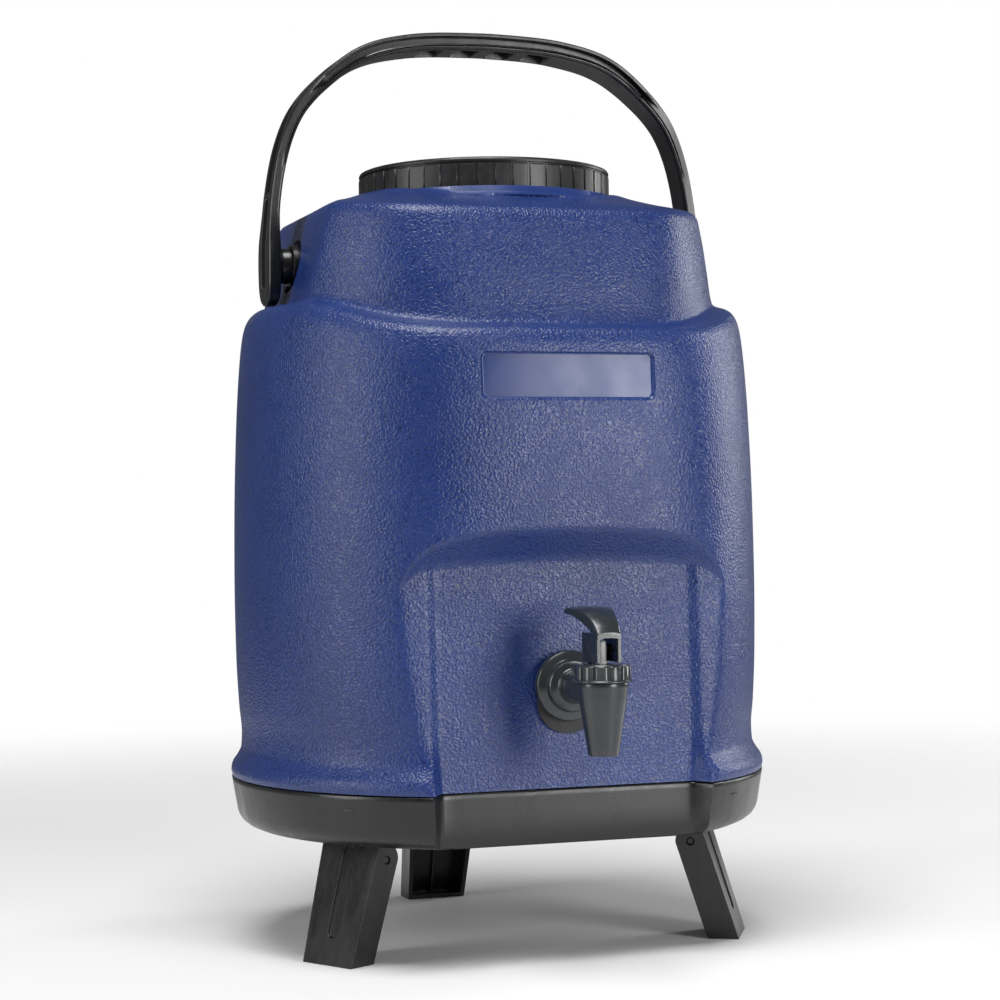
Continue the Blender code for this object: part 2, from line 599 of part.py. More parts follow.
def build_bail(mats):
    """Arched carrying handle with hubs, plus boss, washer and pivot pin on each side."""
    path = bail_points()
    verts = []
    for i, (x, z, width, thick) in enumerate(path):
        before, after = path[max(i - 1, 0)], path[min(i + 1, len(path) - 1)]
        tx, tz = after[0] - before[0], after[1] - before[1]
        length = math.hypot(tx, tz)
        nx, nz = -tz / length, tx / length
        b = min(0.0016, thick * 0.3)
        section = [(-width / 2 + b, -thick / 2), (width / 2 - b, -thick / 2), (width / 2, -thick / 2 + b),
                   (width / 2, thick / 2 - b), (width / 2 - b, thick / 2), (-width / 2 + b, thick / 2),
                   (-width / 2, thick / 2 - b), (-width / 2, -thick / 2 + b)]
        for y, n in section:
            verts.append((x + n * nx, y, z + n * nz))
    bail = make("handle_bail", verts, ring_faces(len(path), 8), mats["black"], 38.0)
    origin = (0.0, AXIS_Y + NECK_Y, PIVOT_Z)
    for sign, side in ((-1, "left"), (1, "right")):
        hole = [(0.0033, sign * (PIVOT_X - 0.02)), (0.0033, sign * (PIVOT_X + 0.0014))]
        boolean(bail, lathe("blind", hole, None, (0, 0, 0), "X", 20), smooth=38.0)
        boss = [(0.0033, sign * 0.1047), (0.0137, sign * 0.1047), (0.0137, sign * 0.1066),
                (BOSS_RADIUS, sign * 0.1072), (BOSS_RADIUS, sign * 0.1152), (0.0098, sign * 0.1158),
                (0.0098, sign * 0.1208), (0.0090, sign * 0.1213), (0.0033, sign * 0.1213)]
        lathe("pivot_boss_" + side, boss, mats["black"], origin, "X", 24, loop=True)
        ring = [(0.0034, sign * 0.1216), (0.0078, sign * 0.1216), (0.0078, sign * 0.1222), (0.0034, sign * 0.1222)]
        lathe("pivot_washer_" + side, ring, mats["nylon"], origin, "X", 18, loop=True)
        pin = [(0.0026, sign * 0.1060), (0.0029, sign * 0.1065), (0.0029, sign * 0.1268), (0.0026, sign * 0.1272)]
        lathe("pivot_pin_" + side, pin, mats["steel"], origin, "X", 20)
    place(bail, origin)


# ---------------------------------------------------------------- tap
def build_tap(mats):
    """Push-lever tap: body, bonnet, lever, pin, stem, seal, spring, gaskets and backing nut."""
    face = panel_y(TAP_Z)
    axis = (0.0, AXIS_Y + TAP_Y, 0.0)
    shank_at = (0.0, AXIS_Y, TAP_Z)
    barrel = [(0.0068, 0.1136), (0.0076, 0.1136), (0.0081, 0.1145), (0.0116, 0.1380), (0.0128, 0.1480),
              (0.0132, 0.1503), (0.0108, 0.1506), (0.0108, 0.1574), (0.0010, 0.1574)]
    body = lathe("tap_body", barrel, mats["tap"], axis, "Z", 24)
    gasket = 0.0024
    flange = -face - gasket
    neck = [(0.0086, TAP_Y + 0.002), (0.0086, flange - 0.0105), (0.0098, flange - 0.0092), (0.0130, flange - 0.0086),
            (0.0136, flange - 0.0070), (0.0148, flange - 0.0052), (0.0180, flange - 0.0042), (0.0184, flange - 0.0030),
            (0.0184, flange), (0.0086, flange), (0.0086, -0.0750), (0.0080, -0.0742)]
    boolean(body, lathe("neck", neck, None, shank_at, "Y", 28), "UNION")
    way = [(0.0058, TAP_Y - 0.004), (0.0058, -0.06)]
    boolean(body, lathe("way", way, None, shank_at, "Y", 16))
    bore = [(0.0060, 0.1100), (0.0066, 0.1285), (0.0066, 0.1300), (0.0088, 0.1302), (0.0088, 0.1600)]
    boolean(body, lathe("bore", bore, None, axis, "Z", 20))

    def washer(name, inner, outer, y0, y1, mat, count=28):
        ring = [(inner, y0), (outer, y0), (outer, y1), (inner, y1)]
        return lathe(name, ring, mat, shank_at, "Y", count, loop=True)

    washer("tap_gasket_outer", 0.0090, 0.0170, flange + 0.0002, flange + gasket - 0.0009, mats["rubber"])
    inside = -0.0961
    washer("tap_gasket_inner", 0.0090, 0.0160, inside + 0.0004, inside + 0.0024, mats["rubber"])
    washer("tap_nut", 0.0093, 0.0156, inside + 0.0027, inside + 0.0107, mats["tap"], 12)

    nut = [(0.0112, 0.1507), (0.0153, 0.1507), (0.0153, 0.1515), (0.0146, 0.1519), (0.0146, 0.1588),
           (0.0136, 0.1596), (0.0036, 0.1596), (0.0036, 0.1578), (0.0112, 0.1578)]
    bonnet = lathe("tap_bonnet", nut, mats["tap"], axis, "Z", 28, loop=True)
    for x in (-0.0034, 0.0034):
        post = box("post", (x - 0.0010, AXIS_Y + TAP_Y + 0.0035, 0.1590), (x + 0.0010, AXIS_Y + TAP_Y + 0.0098, 0.1695))
        boolean(bonnet, post, "UNION")
    pivot = (0.0, AXIS_Y + TAP_Y + 0.0066, 0.1666)
    boolean(bonnet, lathe("pin_way", [(0.0013, -0.02), (0.0013, 0.02)], None, pivot, "X", 10))

    stem = [(0.0015, 0.1315), (0.0030, 0.1318), (0.0030, 0.1352), (0.0021, 0.1356), (0.0021, 0.1705),
            (0.0017, 0.1711)]
    lathe("tap_stem", stem, mats["white"], axis, "Z", 20)
    cup = [(0.0033, 0.1330), (0.0033, 0.1308), (0.0060, 0.1306), (0.0080, 0.1312), (0.0084, 0.1336),
           (0.0058, 0.1344), (0.0033, 0.1344)]
    lathe("tap_seal", cup, mats["rubber"], axis, "Z", 24, loop=True)
    spring(mats["steel"], axis)
    build_lever(mats, pivot)
    pin = lathe("tap_lever_pin", [(0.0008, -0.0060), (0.00095, -0.0058), (0.00095, 0.0058), (0.0008, 0.0060)],
                mats["steel"], (0, 0, 0), "X", 14)
    place(pin, pivot)


def spring(mat, axis):
    """Return spring round the stem: one closed helical wire."""
    turns, steps, sides = 5, 10, 5
    low, high, radius, wire = 0.1366, 0.1565, 0.0048, 0.0005
    total = turns * steps
    verts = []
    for k in range(total + 1):
        a = 2.0 * math.pi * k / steps
        z = low + (high - low) * k / total
        for j in range(sides):
            b = 2.0 * math.pi * j / sides
            r = radius + wire * math.cos(b)
            verts.append((r * math.cos(a), axis[1] + r * math.sin(a), z + wire * math.sin(b)))
    make("tap_spring", verts, ring_faces(total + 1, sides), mat, 50.0)


def build_lever(mats, pivot):
    """Forked thumb lever: two cheeks, a roof and a paddle that sweeps up and back."""
    front, back = -0.0162, 0.0052       # from the pivot, along Y
    low, roof, top = 0.1606 - pivot[2], 0.1730 - pivot[2], 0.1752 - pivot[2]
    half, wall = 0.0064, 0.0015
    arch = [(-half, low), (-half + wall, low), (-half + wall, roof), (half - wall, roof),
            (half - wall, low), (half, low), (half, top), (-half, top)]
    verts = [(x, y, z) for y in (front, back) for x, z in arch]
    lever = make("tap_lever", verts, ring_faces(2, 8), mats["tap"], 0.0)
    paddle_rows = []
    stations = [(front - 0.0006, 0.0078, 0.0063, 0.0028), (front + 0.0030, 0.0108, 0.0070, 0.0056),
                (front + 0.0090, 0.0146, 0.0086, 0.0070), (front + 0.0160, 0.0177, 0.0108, 0.0056),
                (front + 0.0240, 0.0196, 0.0126, 0.0038), (front + 0.0320, 0.0201, 0.0124, 0.0030),
                (front + 0.0352, 0.0200, 0.0100, 0.0024)]
    for y, z, half, thick in stations:
        for x, dz in ((-half, -thick / 2), (half, -thick / 2), (half, thick / 2 - 0.0005), (half * 0.86, thick / 2),
                      (-half * 0.86, thick / 2), (-half, thick / 2 - 0.0005)):
            paddle_rows.append((x, y, z + dz))
    paddle = make("paddle", paddle_rows, ring_faces(len(stations), 6), None, 30.0)
    boolean(lever, paddle, "UNION", 30.0)
    heel = [(0.0022, -0.0300), (0.0022, -0.0066), (0.0062, -0.0034), (0.0200, -0.0034), (0.0200, -0.0300)]
    verts = [(x, y, z) for x in (-0.02, 0.02) for y, z in heel]
    boolean(lever, make("heel", verts, ring_faces(2, 5), None, 0.0), smooth=30.0)
    boolean(lever, lathe("hole", [(0.0012, -0.02), (0.0012, 0.02)], None, (0, 0, 0), "X", 14), smooth=30.0)
    place(lever, pivot)


# ---------------------------------------------------------------- assemble
def main():
    """Build every piece."""
    clear_scene()
    mats = {
        "blue": material("blue_plastic", (0.020, 0.045, 0.190), 0.42),
        "black": material("black_plastic", (0.012, 0.012, 0.013), 0.30),
        "tap": material("tap_plastic", (0.040, 0.050, 0.052), 0.28),
        "white": material("white_plastic", (0.75, 0.76, 0.74), 0.40),
        "foam": material("insulation", (0.80, 0.74, 0.52), 0.90),
        "rubber": material("black_rubber", (0.02, 0.02, 0.02), 0.75),
        "nylon": material("nylon", (0.55, 0.55, 0.52), 0.45),
        "steel": material("stainless", (0.60, 0.60, 0.60), 0.25, 1.0),
    }
    build_shell(mats)
    build_foam(mats)
    build_tank(mats)
    build_cap(mats)
    build_base(mats)
    build_legs(mats)
    build_bail(mats)
    build_tap(mats)


main()
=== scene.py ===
"""Looks of an insulated drinks jug, dressed over its fixed frame.

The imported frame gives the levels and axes.  Each sub-assembly is a class that holds its sizes,
builds its meshes in the frame's own metres (+Z up, front to -Y) and dresses them with a
procedural finish read from Object coordinates.
"""
import json
import logging
import math
import sys
from collections.abc import Sequence
from dataclasses import dataclass
from enum import Enum

import bmesh
import bpy
import numpy as np
from mathutils import Matrix, Vector, kdtree


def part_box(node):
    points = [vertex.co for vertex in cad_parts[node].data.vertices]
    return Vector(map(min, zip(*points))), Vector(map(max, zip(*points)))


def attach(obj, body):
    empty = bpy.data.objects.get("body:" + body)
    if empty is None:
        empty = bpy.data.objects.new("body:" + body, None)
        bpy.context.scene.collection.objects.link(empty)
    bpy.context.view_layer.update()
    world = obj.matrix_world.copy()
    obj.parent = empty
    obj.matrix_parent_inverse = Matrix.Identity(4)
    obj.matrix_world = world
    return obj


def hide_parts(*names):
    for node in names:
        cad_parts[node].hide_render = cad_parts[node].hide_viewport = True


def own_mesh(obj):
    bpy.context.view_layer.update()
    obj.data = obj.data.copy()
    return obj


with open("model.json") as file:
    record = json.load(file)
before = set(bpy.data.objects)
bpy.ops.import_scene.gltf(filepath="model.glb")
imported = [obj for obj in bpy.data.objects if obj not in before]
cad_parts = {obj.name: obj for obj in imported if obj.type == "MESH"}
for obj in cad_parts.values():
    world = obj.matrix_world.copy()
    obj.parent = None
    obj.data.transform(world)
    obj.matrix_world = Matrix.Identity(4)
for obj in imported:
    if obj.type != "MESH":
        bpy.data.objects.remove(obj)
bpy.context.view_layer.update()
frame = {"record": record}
LOG = logging.getLogger("drinks_jug")
Array = np.ndarray
Mesh = bpy.types.Object
Point = tuple[float, float, float]


class Body(Enum):
    """The bodies that pieces ride on."""
    JUG = "jug"
    HANDLE = "handle"
    CARRIER = "cap_carrier"
    CAP = "cap"
    LEVER = "tap_lever"
    STEM = "tap_stem"


class Side(Enum):
    """The two sides of the jug, seen from the front."""
    LEFT = -1
    RIGHT = 1


# ---------------------------------------------------------------- curves and blends
def smoothstep(t: Array) -> Array:
    """Ramp from 0 to 1 with flat ends."""
    t = np.clip(t, 0.0, 1.0)
    return t * t * (3.0 - 2.0 * t)


def soft_min(a: Array, b: Array, width: float) -> Array:
    """Smaller of two surfaces, filleted where they cross."""
    h = np.clip(0.5 + 0.5 * (b - a) / width, 0.0, 1.0)
    return b * (1.0 - h) + a * h - width * h * (1.0 - h)


def soft_max(a: Array, b: Array, width: float) -> Array:
    """Larger of two surfaces, filleted where they cross."""
    return -soft_min(-a, -b, width)


def soft_ramp(v: Array, width: float) -> Array:
    """Zero below 0 and v above it, with a rounded corner."""
    return 0.5 * (v + np.sqrt(v * v + width * width))


def smooth_curve(knots: Array, values: Array, at: Array) -> Array:
    """Smooth curve through knots that never overshoots them.

    Args:
        knots: Rising parameters, one for each row of values.
        values: One row for each knot.
        at: Parameters to read the curve at.

    Returns:
        One row for each entry of at.
    """
    step = np.diff(knots)[:, None]
    slope = np.diff(values, axis=0) / step
    same = slope[:-1] * slope[1:] > 0.0
    safe_low = np.where(same, slope[:-1], 1.0)
    safe_high = np.where(same, slope[1:], 1.0)
    weight_low, weight_high = 2.0 * step[1:] + step[:-1], step[1:] + 2.0 * step[:-1]
    mean = (weight_low + weight_high) / (weight_low / safe_low + weight_high / safe_high)
    tangent = np.vstack([slope[:1], np.where(same, mean, 0.0), slope[-1:]])
    k = np.clip(np.searchsorted(knots, at, side="right") - 1, 0, len(knots) - 2)
    h = step[k]
    t = ((at - knots[k])[:, None]) / h
    return ((2 * t**3 - 3 * t**2 + 1) * values[k] + (t**3 - 2 * t**2 + t) * h * tangent[k]
            + (3 * t**2 - 2 * t**3) * values[k + 1] + (t**3 - t**2) * h * tangent[k + 1])


def spread(zones: Sequence[tuple[float, float, int]]) -> Array:
    """Rising values with a chosen number of steps in each (start, end, steps) zone."""
    parts = [np.linspace(start, end, steps, endpoint=False) for start, end, steps in zones]
    return np.concatenate(parts + [np.array([zones[-1][1]])])


# ---------------------------------------------------------------- meshes
def mesh_object(name: str, verts: Array, faces: Sequence[tuple[int, ...]], crease: float = 35.0) -> Mesh:
    """A linked object, normals outward, smooth except across creases.

    Args:
        name: Piece name.
        verts: Points in the frame's metres.
        faces: Vertex loops.
        crease: Edges bent by more than this many degrees stay sharp.

    Returns:
        The new object, at the origin.
    """
    mesh = bpy.data.meshes.new(name)
    mesh.from_pydata(np.asarray(verts, dtype=float).tolist(), [], [tuple(map(int, f)) for f in faces])
    obj = bpy.data.objects.new(name, mesh)
    bpy.context.scene.collection.objects.link(obj)
    return tidy(obj, crease)


def tidy(obj: Mesh, crease: float = 35.0) -> Mesh:
    """Merge doubles, point normals outward and mark creases."""
    work = bmesh.new()
    work.from_mesh(obj.data)
    bmesh.ops.remove_doubles(work, verts=work.verts, dist=1e-6)
    bmesh.ops.recalc_face_normals(work, faces=work.faces)
    limit = math.radians(crease)
    for face in work.faces:
        face.smooth = True
    for edge in work.edges:
        edge.smooth = len(edge.link_faces) != 2 or edge.calc_face_angle(3.2) < limit
    work.to_mesh(obj.data)
    work.free()
    return obj


def ring_faces(rows: int, count: int, loop: bool = False) -> list[tuple[int, ...]]:
    """Quads between rings of count points; the end rings are capped, or joined when loop is set."""
    faces = []
    last = rows if loop else rows - 1
    for row in range(last):
        upper = (row + 1) % rows
        for k in range(count):
            n = (k + 1) % count
            faces.append((row * count + k, row * count + n, upper * count + n, upper * count + k))
    if not loop:
        faces.append(tuple(range(count))[::-1])
        faces.append(tuple((rows - 1) * count + k for k in range(count)))
    return faces


def skin(name: str, rings: Array, loop: bool = False, crease: float = 35.0) -> Mesh:
    """A closed solid over rings shaped (rows, points, 3)."""
    rows, count = rings.shape[:2]
    return mesh_object(name, rings.reshape(-1, 3), ring_faces(rows, count, loop), crease)


def turned(name: str, profile: Sequence[tuple[float, float]], centre: Point, axis: str = "Z",
           count: int = 72, loop: bool = False, crease: float = 35.0) -> Mesh:
    """A turned solid.

    Args:
        name: Piece name.
        profile: (radius, distance along the axis) pairs.
        centre: Point on the axis.
        axis: "X", "Y" or "Z".
        count: Points round.
        loop: Join the profile's ends, for a ring.
        crease: Edges bent by more than this many degrees stay sharp.

    Returns:
        The solid.
    """
    turn = np.linspace(0.0, 2.0 * math.pi, count, endpoint=False)
    outline = np.array(profile)
    c = outline[:, :1] * np.cos(turn)
    s = outline[:, :1] * np.sin(turn)
    along = np.repeat(outline[:, 1:], count, axis=1)
    order = {"Z": (c, s, along), "X": (along, c, s), "Y": (s, along, c)}[axis]
    return skin(name, np.stack(order, axis=-1) + np.array(centre), loop, crease)


def prism(name: str, outline: Sequence[Point], offset: Point, crease: float = 30.0) -> Mesh:
    """A flat outline pushed along an offset into a solid."""
    low = np.array(outline)
    return skin(name, np.stack([low, low + np.array(offset)]), False, crease)


def carry_out(obj: Mesh, crease: float = 35.0) -> Mesh:
    """Apply an object's modifiers and keep the result as its plain mesh."""
    bpy.context.view_layer.update()
    graph = bpy.context.evaluated_depsgraph_get()
    result = bpy.data.meshes.new_from_object(obj.evaluated_get(graph))
    obj.modifiers.clear()
    obj.data = result
    return tidy(obj, crease)


def combine(obj: Mesh, other: Mesh, operation: str = "DIFFERENCE", crease: float = 35.0) -> Mesh:
    """Boolean one solid with another and drop the other."""
    modifier = obj.modifiers.new("combine", "BOOLEAN")
    modifier.solver = "EXACT"
    modifier.operation = operation
    modifier.object = other
    carry_out(obj, crease)
    bpy.data.objects.remove(other, do_unlink=True)
    return obj


def soften(obj: Mesh, width: float, segments: int = 2, angle: float = 30.0, crease: float = 13.0) -> Mesh:
    """Round the sharp edges of a solid."""
    modifier = obj.modifiers.new("soften", "BEVEL")
    modifier.width = width
    modifier.segments = segments
    modifier.limit_method = "ANGLE"
    modifier.angle_limit = math.radians(angle)
    modifier.use_clamp_overlap = True
    return carry_out(obj, crease)


def gather(name: str, parts: Sequence[Mesh]) -> Mesh:
    """Join several solids into one piece without cutting them."""
    work = bmesh.new()
    for part in parts:
        work.from_mesh(part.data)
        bpy.data.objects.remove(part, do_unlink=True)
    mesh = bpy.data.meshes.new(name)
    work.to_mesh(mesh)
    work.free()
    obj = bpy.data.objects.new(name, mesh)
    bpy.context.scene.collection.objects.link(obj)
    return obj


def turn_about(obj: Mesh, angle: float, centre: Point) -> Mesh:
    """Turn a mesh by degrees about an upright axis."""
    spin = Matrix.Translation(centre) @ Matrix.Rotation(math.radians(angle), 4, "Z") @ Matrix.Translation(
        -Vector(centre))
    obj.data.transform(spin)
    return obj


# ---------------------------------------------------------------- geometry trees
class Tree:
    """A Geometry Nodes tree written call by call."""

    def __init__(self, name: str) -> None:
        """Start an empty tree with one geometry output."""
        self.tree = bpy.data.node_groups.new(name, "GeometryNodeTree")
        self.tree.interface.new_socket("Geometry", in_out="OUTPUT", socket_type="NodeSocketGeometry")
        self.source = self.tree.nodes.new("NodeGroupInput")
        self.sink = self.tree.nodes.new("NodeGroupOutput")

    def size(self, name: str, kind: str) -> str:
        """Add a named input of a socket kind and return its name."""
        self.tree.interface.new_socket(name, in_out="INPUT", socket_type="NodeSocket" + kind)
        return name

    def node(self, kind: str, links: dict[str, object], **values: object) -> bpy.types.Node:
        """Add a node.

        Args:
            kind: Node type.
            links: Input name to a source node, to the name of a tree input, or to a plain value.
            **values: Properties of the node itself.

        Returns:
            The node.
        """
        node = self.tree.nodes.new(kind)
        for key, value in values.items():
            setattr(node, key, value)
        for key, value in links.items():
            socket = node.inputs[int(key)] if key.isdigit() else node.inputs[key]
            if isinstance(value, bpy.types.Node):
                self.tree.links.new(value.outputs[0], socket)
            elif isinstance(value, str):
                self.tree.links.new(self.source.outputs[value], socket)
            else:
                socket.default_value = value
        return node

    def finish(self, last: bpy.types.Node) -> bpy.types.NodeTree:
        """Realize the instances, set the material and close the tree."""
        real = self.node("GeometryNodeRealizeInstances", {"Geometry": last})
        finish = self.size("Finish", "Material")
        dressed = self.node("GeometryNodeSetMaterial", {"Geometry": real, "Material": finish})
        self.tree.links.new(dressed.outputs[0], self.sink.inputs[0])
        return self.tree


def ring_tree() -> bpy.types.NodeTree:
    """Copies of a part stood round an upright axis."""
    tree = Tree("ring_of_parts")
    for name, kind in (("Part", "Object"), ("Count", "Int"), ("Centre", "Vector"), ("Start", "Float")):
        tree.size(name, kind)
    step = tree.node("ShaderNodeMath", {"0": 2.0 * math.pi, "1": "Count"}, operation="DIVIDE")
    index = tree.node("GeometryNodeInputIndex", {})
    turn = tree.node("ShaderNodeMath", {"0": index, "1": step, "2": "Start"}, operation="MULTIPLY_ADD")
    spin = tree.node("ShaderNodeCombineXYZ", {"Z": turn})
    points = tree.node("GeometryNodePoints", {"Count": "Count"})
    part = tree.node("GeometryNodeObjectInfo", {"Object": "Part"}, transform_space="ORIGINAL")
    copies = tree.node("GeometryNodeInstanceOnPoints", {"Points": points, "Rotation": spin})
    tree.tree.links.new(part.outputs["Geometry"], copies.inputs["Instance"])
    placed = tree.node("GeometryNodeTransform", {"Geometry": copies, "Translation": "Centre"})
    return tree.finish(placed)


def grow(name: str, tree: bpy.types.NodeTree, sizes: dict[str, object]) -> Mesh:
    """Evaluate a tree with its inputs set and keep the plain mesh that it makes.

    Args:
        name: Name of the new piece.
        tree: The geometry tree.
        sizes: Input name to value; an object given as Part is dropped afterwards.

    Returns:
        The piece, without any modifier.
    """
    obj = bpy.data.objects.new(name, bpy.data.meshes.new(name))
    bpy.context.scene.collection.objects.link(obj)
    modifier = obj.modifiers.new("grow", "NODES")
    modifier.node_group = tree
    for item in tree.interface.items_tree:
        if item.in_out == "INPUT" and item.name in sizes:
            modifier[item.identifier] = sizes[item.name]
    carry_out(obj, 40.0)
    part = sizes.get("Part")
    if part is not None:
        bpy.data.objects.remove(part, do_unlink=True)
    return obj


# ---------------------------------------------------------------- finishes
class Shading:
    """A material's node tree written call by call round its Principled shader."""

    def __init__(self, name: str) -> None:
        """Start a material with Object coordinates at hand."""
        self.material = bpy.data.materials.new(name)
        self.material.use_nodes = True
        self.tree = self.material.node_tree
        self.shader = self.tree.nodes["Principled BSDF"]
        self.place = self.tree.nodes.new("ShaderNodeTexCoord").outputs["Object"]

    def node(self, kind: str, links: dict[str, object], out: str | int = 0,
             **values: object) -> bpy.types.NodeSocket:
        """Add a node and return one of its outputs; links hold sockets or plain values."""
        node = self.tree.nodes.new(kind)
        for key, value in values.items():
            setattr(node, key, value)
        for key, value in links.items():
            socket = node.inputs[int(key)] if key.isdigit() else node.inputs[key]
            if isinstance(value, bpy.types.NodeSocket):
                self.tree.links.new(value, socket)
            else:
                socket.default_value = value
        return node.outputs[out]

    def stretched(self, scale: Point) -> bpy.types.NodeSocket:
        """Object coordinates stretched along the axes."""
        return self.node("ShaderNodeMapping", {"Vector": self.place, "Scale": scale})

    def noise(self, scale: float, detail: float = 2.0, place: bpy.types.NodeSocket | None = None,
              rough: float = 0.5) -> bpy.types.NodeSocket:
        """Noise from 0 to 1."""
        return self.node("ShaderNodeTexNoise", {
            "Vector": place or self.place, "Scale": scale, "Detail": detail, "Roughness": rough})

    def cells(self, scale: float, place: bpy.types.NodeSocket | None = None) -> bpy.types.NodeSocket:
        """Distance from the middle of smooth cells."""
        return self.node("ShaderNodeTexVoronoi", {
            "Vector": place or self.place, "Scale": scale, "Smoothness": 0.35}, feature="SMOOTH_F1")

    def band(self, value: bpy.types.NodeSocket, low: float, high: float, to_low: float = 0.0,
             to_high: float = 1.0) -> bpy.types.NodeSocket:
        """Map a range smoothly onto another."""
        return self.node("ShaderNodeMapRange", {"Value": value, "From Min": low, "From Max": high,
                                                "To Min": to_low, "To Max": to_high},
                         interpolation_type="SMOOTHSTEP")

    def sum(self, a: object, b: object, operation: str = "ADD") -> bpy.types.NodeSocket:
        """Combine two values."""
        return self.node("ShaderNodeMath", {"0": a, "1": b}, operation=operation)

    def mix(self, factor: object, a: object, b: object) -> bpy.types.NodeSocket:
        """Blend two colours."""
        node = self.tree.nodes.new("ShaderNodeMix")
        node.data_type = "RGBA"
        for socket, value in ((node.inputs[0], factor), (node.inputs[6], a), (node.inputs[7], b)):
            if isinstance(value, bpy.types.NodeSocket):
                self.tree.links.new(value, socket)
            else:
                socket.default_value = value
        return node.outputs[2]

    def edges(self, low: float, high: float) -> bpy.types.NodeSocket:
        """Worn outer edges, from 0 to 1."""
        return self.band(self.node("ShaderNodeNewGeometry", {}, "Pointiness"), low, high)

    def attribute(self, name: str) -> bpy.types.NodeSocket:
        """A value stored on the mesh."""
        return self.node("ShaderNodeAttribute", {}, "Fac", attribute_name=name)

    def bump(self, height: bpy.types.NodeSocket, strength: float, distance: float,
             below: bpy.types.NodeSocket | None = None) -> bpy.types.NodeSocket:
        """Bump from a height."""
        links = {"Height": height, "Strength": strength, "Distance": distance}
        if below is not None:
            links["Normal"] = below
        return self.node("ShaderNodeBump", links)

    def close(self, **links: object) -> bpy.types.Material:
        """Feed the shader: keywords are its inputs, with _ for a space."""
        for key, value in links.items():
            socket = self.shader.inputs[key.replace("_", " ")]
            if isinstance(value, bpy.types.NodeSocket):
                self.tree.links.new(value, socket)
            else:
                socket.default_value = value
        return self.material


@dataclass(frozen=True)
class PebbledShell:
    """Blue shell plastic with a moulded pebble grain, smooth where the mesh's grain value is 0."""
    colour: Point = (0.013, 0.036, 0.165)
    deep: Point = (0.010, 0.028, 0.135)
    scuff: Point = (0.10, 0.10, 0.13)
    pebble: float = 760.0
    roughness: float = 0.30

    def make(self) -> bpy.types.Material:
        """Build the material."""
        sheet = Shading("pebbled_blue_shell")
        grain = sheet.attribute("grain")
        rub = sheet.attribute("scuff")
        drift = sheet.noise(11.0, 3.0)
        swell = sheet.noise(self.pebble, 1.4, rough=0.45)
        pits = sheet.band(sheet.cells(self.pebble * 0.9), 0.30, 0.75)
        relief = sheet.sum(sheet.band(swell, 0.34, 0.66), sheet.sum(pits, 0.35, "MULTIPLY"))
        tooth = sheet.sum(sheet.noise(1500.0), 0.15, "MULTIPLY")
        relief = sheet.sum(sheet.sum(relief, tooth), grain, "MULTIPLY")
        chips = sheet.band(sheet.noise(420.0, 4.0, rough=0.7), 0.46, 0.60)
        marks = sheet.sum(chips, rub, "MULTIPLY")
        tone = sheet.mix(sheet.band(drift, 0.3, 0.7), (*self.deep, 1.0), (*self.colour, 1.0))
        # Painted shade: the low spots of the pebble relief are darkened in colour, standing in for shade in
        # the grain's hollows.
        sunk = sheet.sum(sheet.band(swell, 0.44, 0.32), sheet.sum(grain, 0.75, "MULTIPLY"), "MULTIPLY")
        tone = sheet.mix(sunk,
                         tone, (*[c * 0.5 for c in self.deep], 1.0))
        worn = sheet.sum(sheet.edges(0.52, 0.62), 0.16, "MULTIPLY")
        tone = sheet.mix(worn, tone, (0.08, 0.13, 0.34, 1.0))
        tone = sheet.mix(sheet.sum(marks, 0.75, "MULTIPLY"), tone, (*self.scuff, 1.0))
        rough = sheet.band(sheet.noise(60.0, 3.0), 0.3, 0.7, self.roughness - 0.03, self.roughness + 0.05)
        rough = sheet.sum(rough, sheet.sum(marks, 0.3, "MULTIPLY"))
        normal = sheet.bump(relief, 1.0, 0.00017)
        normal = sheet.bump(sheet.sum(marks, -1.0, "MULTIPLY"), 0.8, 0.0006, normal)
        normal = sheet.bump(sheet.noise(26.0, 2.0), 0.10, 0.0012, normal)
        return sheet.close(Base_Color=tone, Roughness=rough, Normal=normal, IOR=1.5)


@dataclass(frozen=True)
class MouldedPlastic:
    """Moulded plastic with flow marks, fine tooth, rubbed edges and uneven gloss."""
    name: str
    colour: Point
    worn: Point
    roughness: float
    tooth: float = 900.0
    tooth_depth: float = 0.00006
    edge: float = 0.35
    flow: Point = (1.0, 1.0, 6.0)
    coat: float = 0.0
    through: float = 0.0

    def make(self) -> bpy.types.Material:
        """Build the material."""
        sheet = Shading(self.name)
        drift = sheet.noise(14.0, 3.0, sheet.stretched(self.flow))
        dark = tuple(c * 0.72 for c in self.colour)
        tone = sheet.mix(sheet.band(drift, 0.25, 0.75), (*dark, 1.0), (*self.colour, 1.0))
        wear = sheet.sum(sheet.edges(0.515, 0.60), sheet.band(sheet.noise(130.0, 3.0), 0.3, 0.7), "MULTIPLY")
        tone = sheet.mix(sheet.sum(wear, self.edge, "MULTIPLY"), tone, (*self.worn, 1.0))
        lines = sheet.noise(90.0, 4.0, sheet.stretched((1.0, 1.0, 0.06)), 0.65)
        rough = sheet.band(lines, 0.3, 0.7, self.roughness - 0.05, self.roughness + 0.07)
        normal = sheet.bump(sheet.noise(self.tooth, 2.0), 0.5, self.tooth_depth)
        normal = sheet.bump(sheet.noise(34.0, 2.0), 0.12, 0.0006, normal)
        return sheet.close(Base_Color=tone, Roughness=rough, Normal=normal, IOR=1.5,
                           Coat_Weight=self.coat, Coat_Roughness=0.18,
                           Subsurface_Weight=self.through, Subsurface_Scale=0.004)


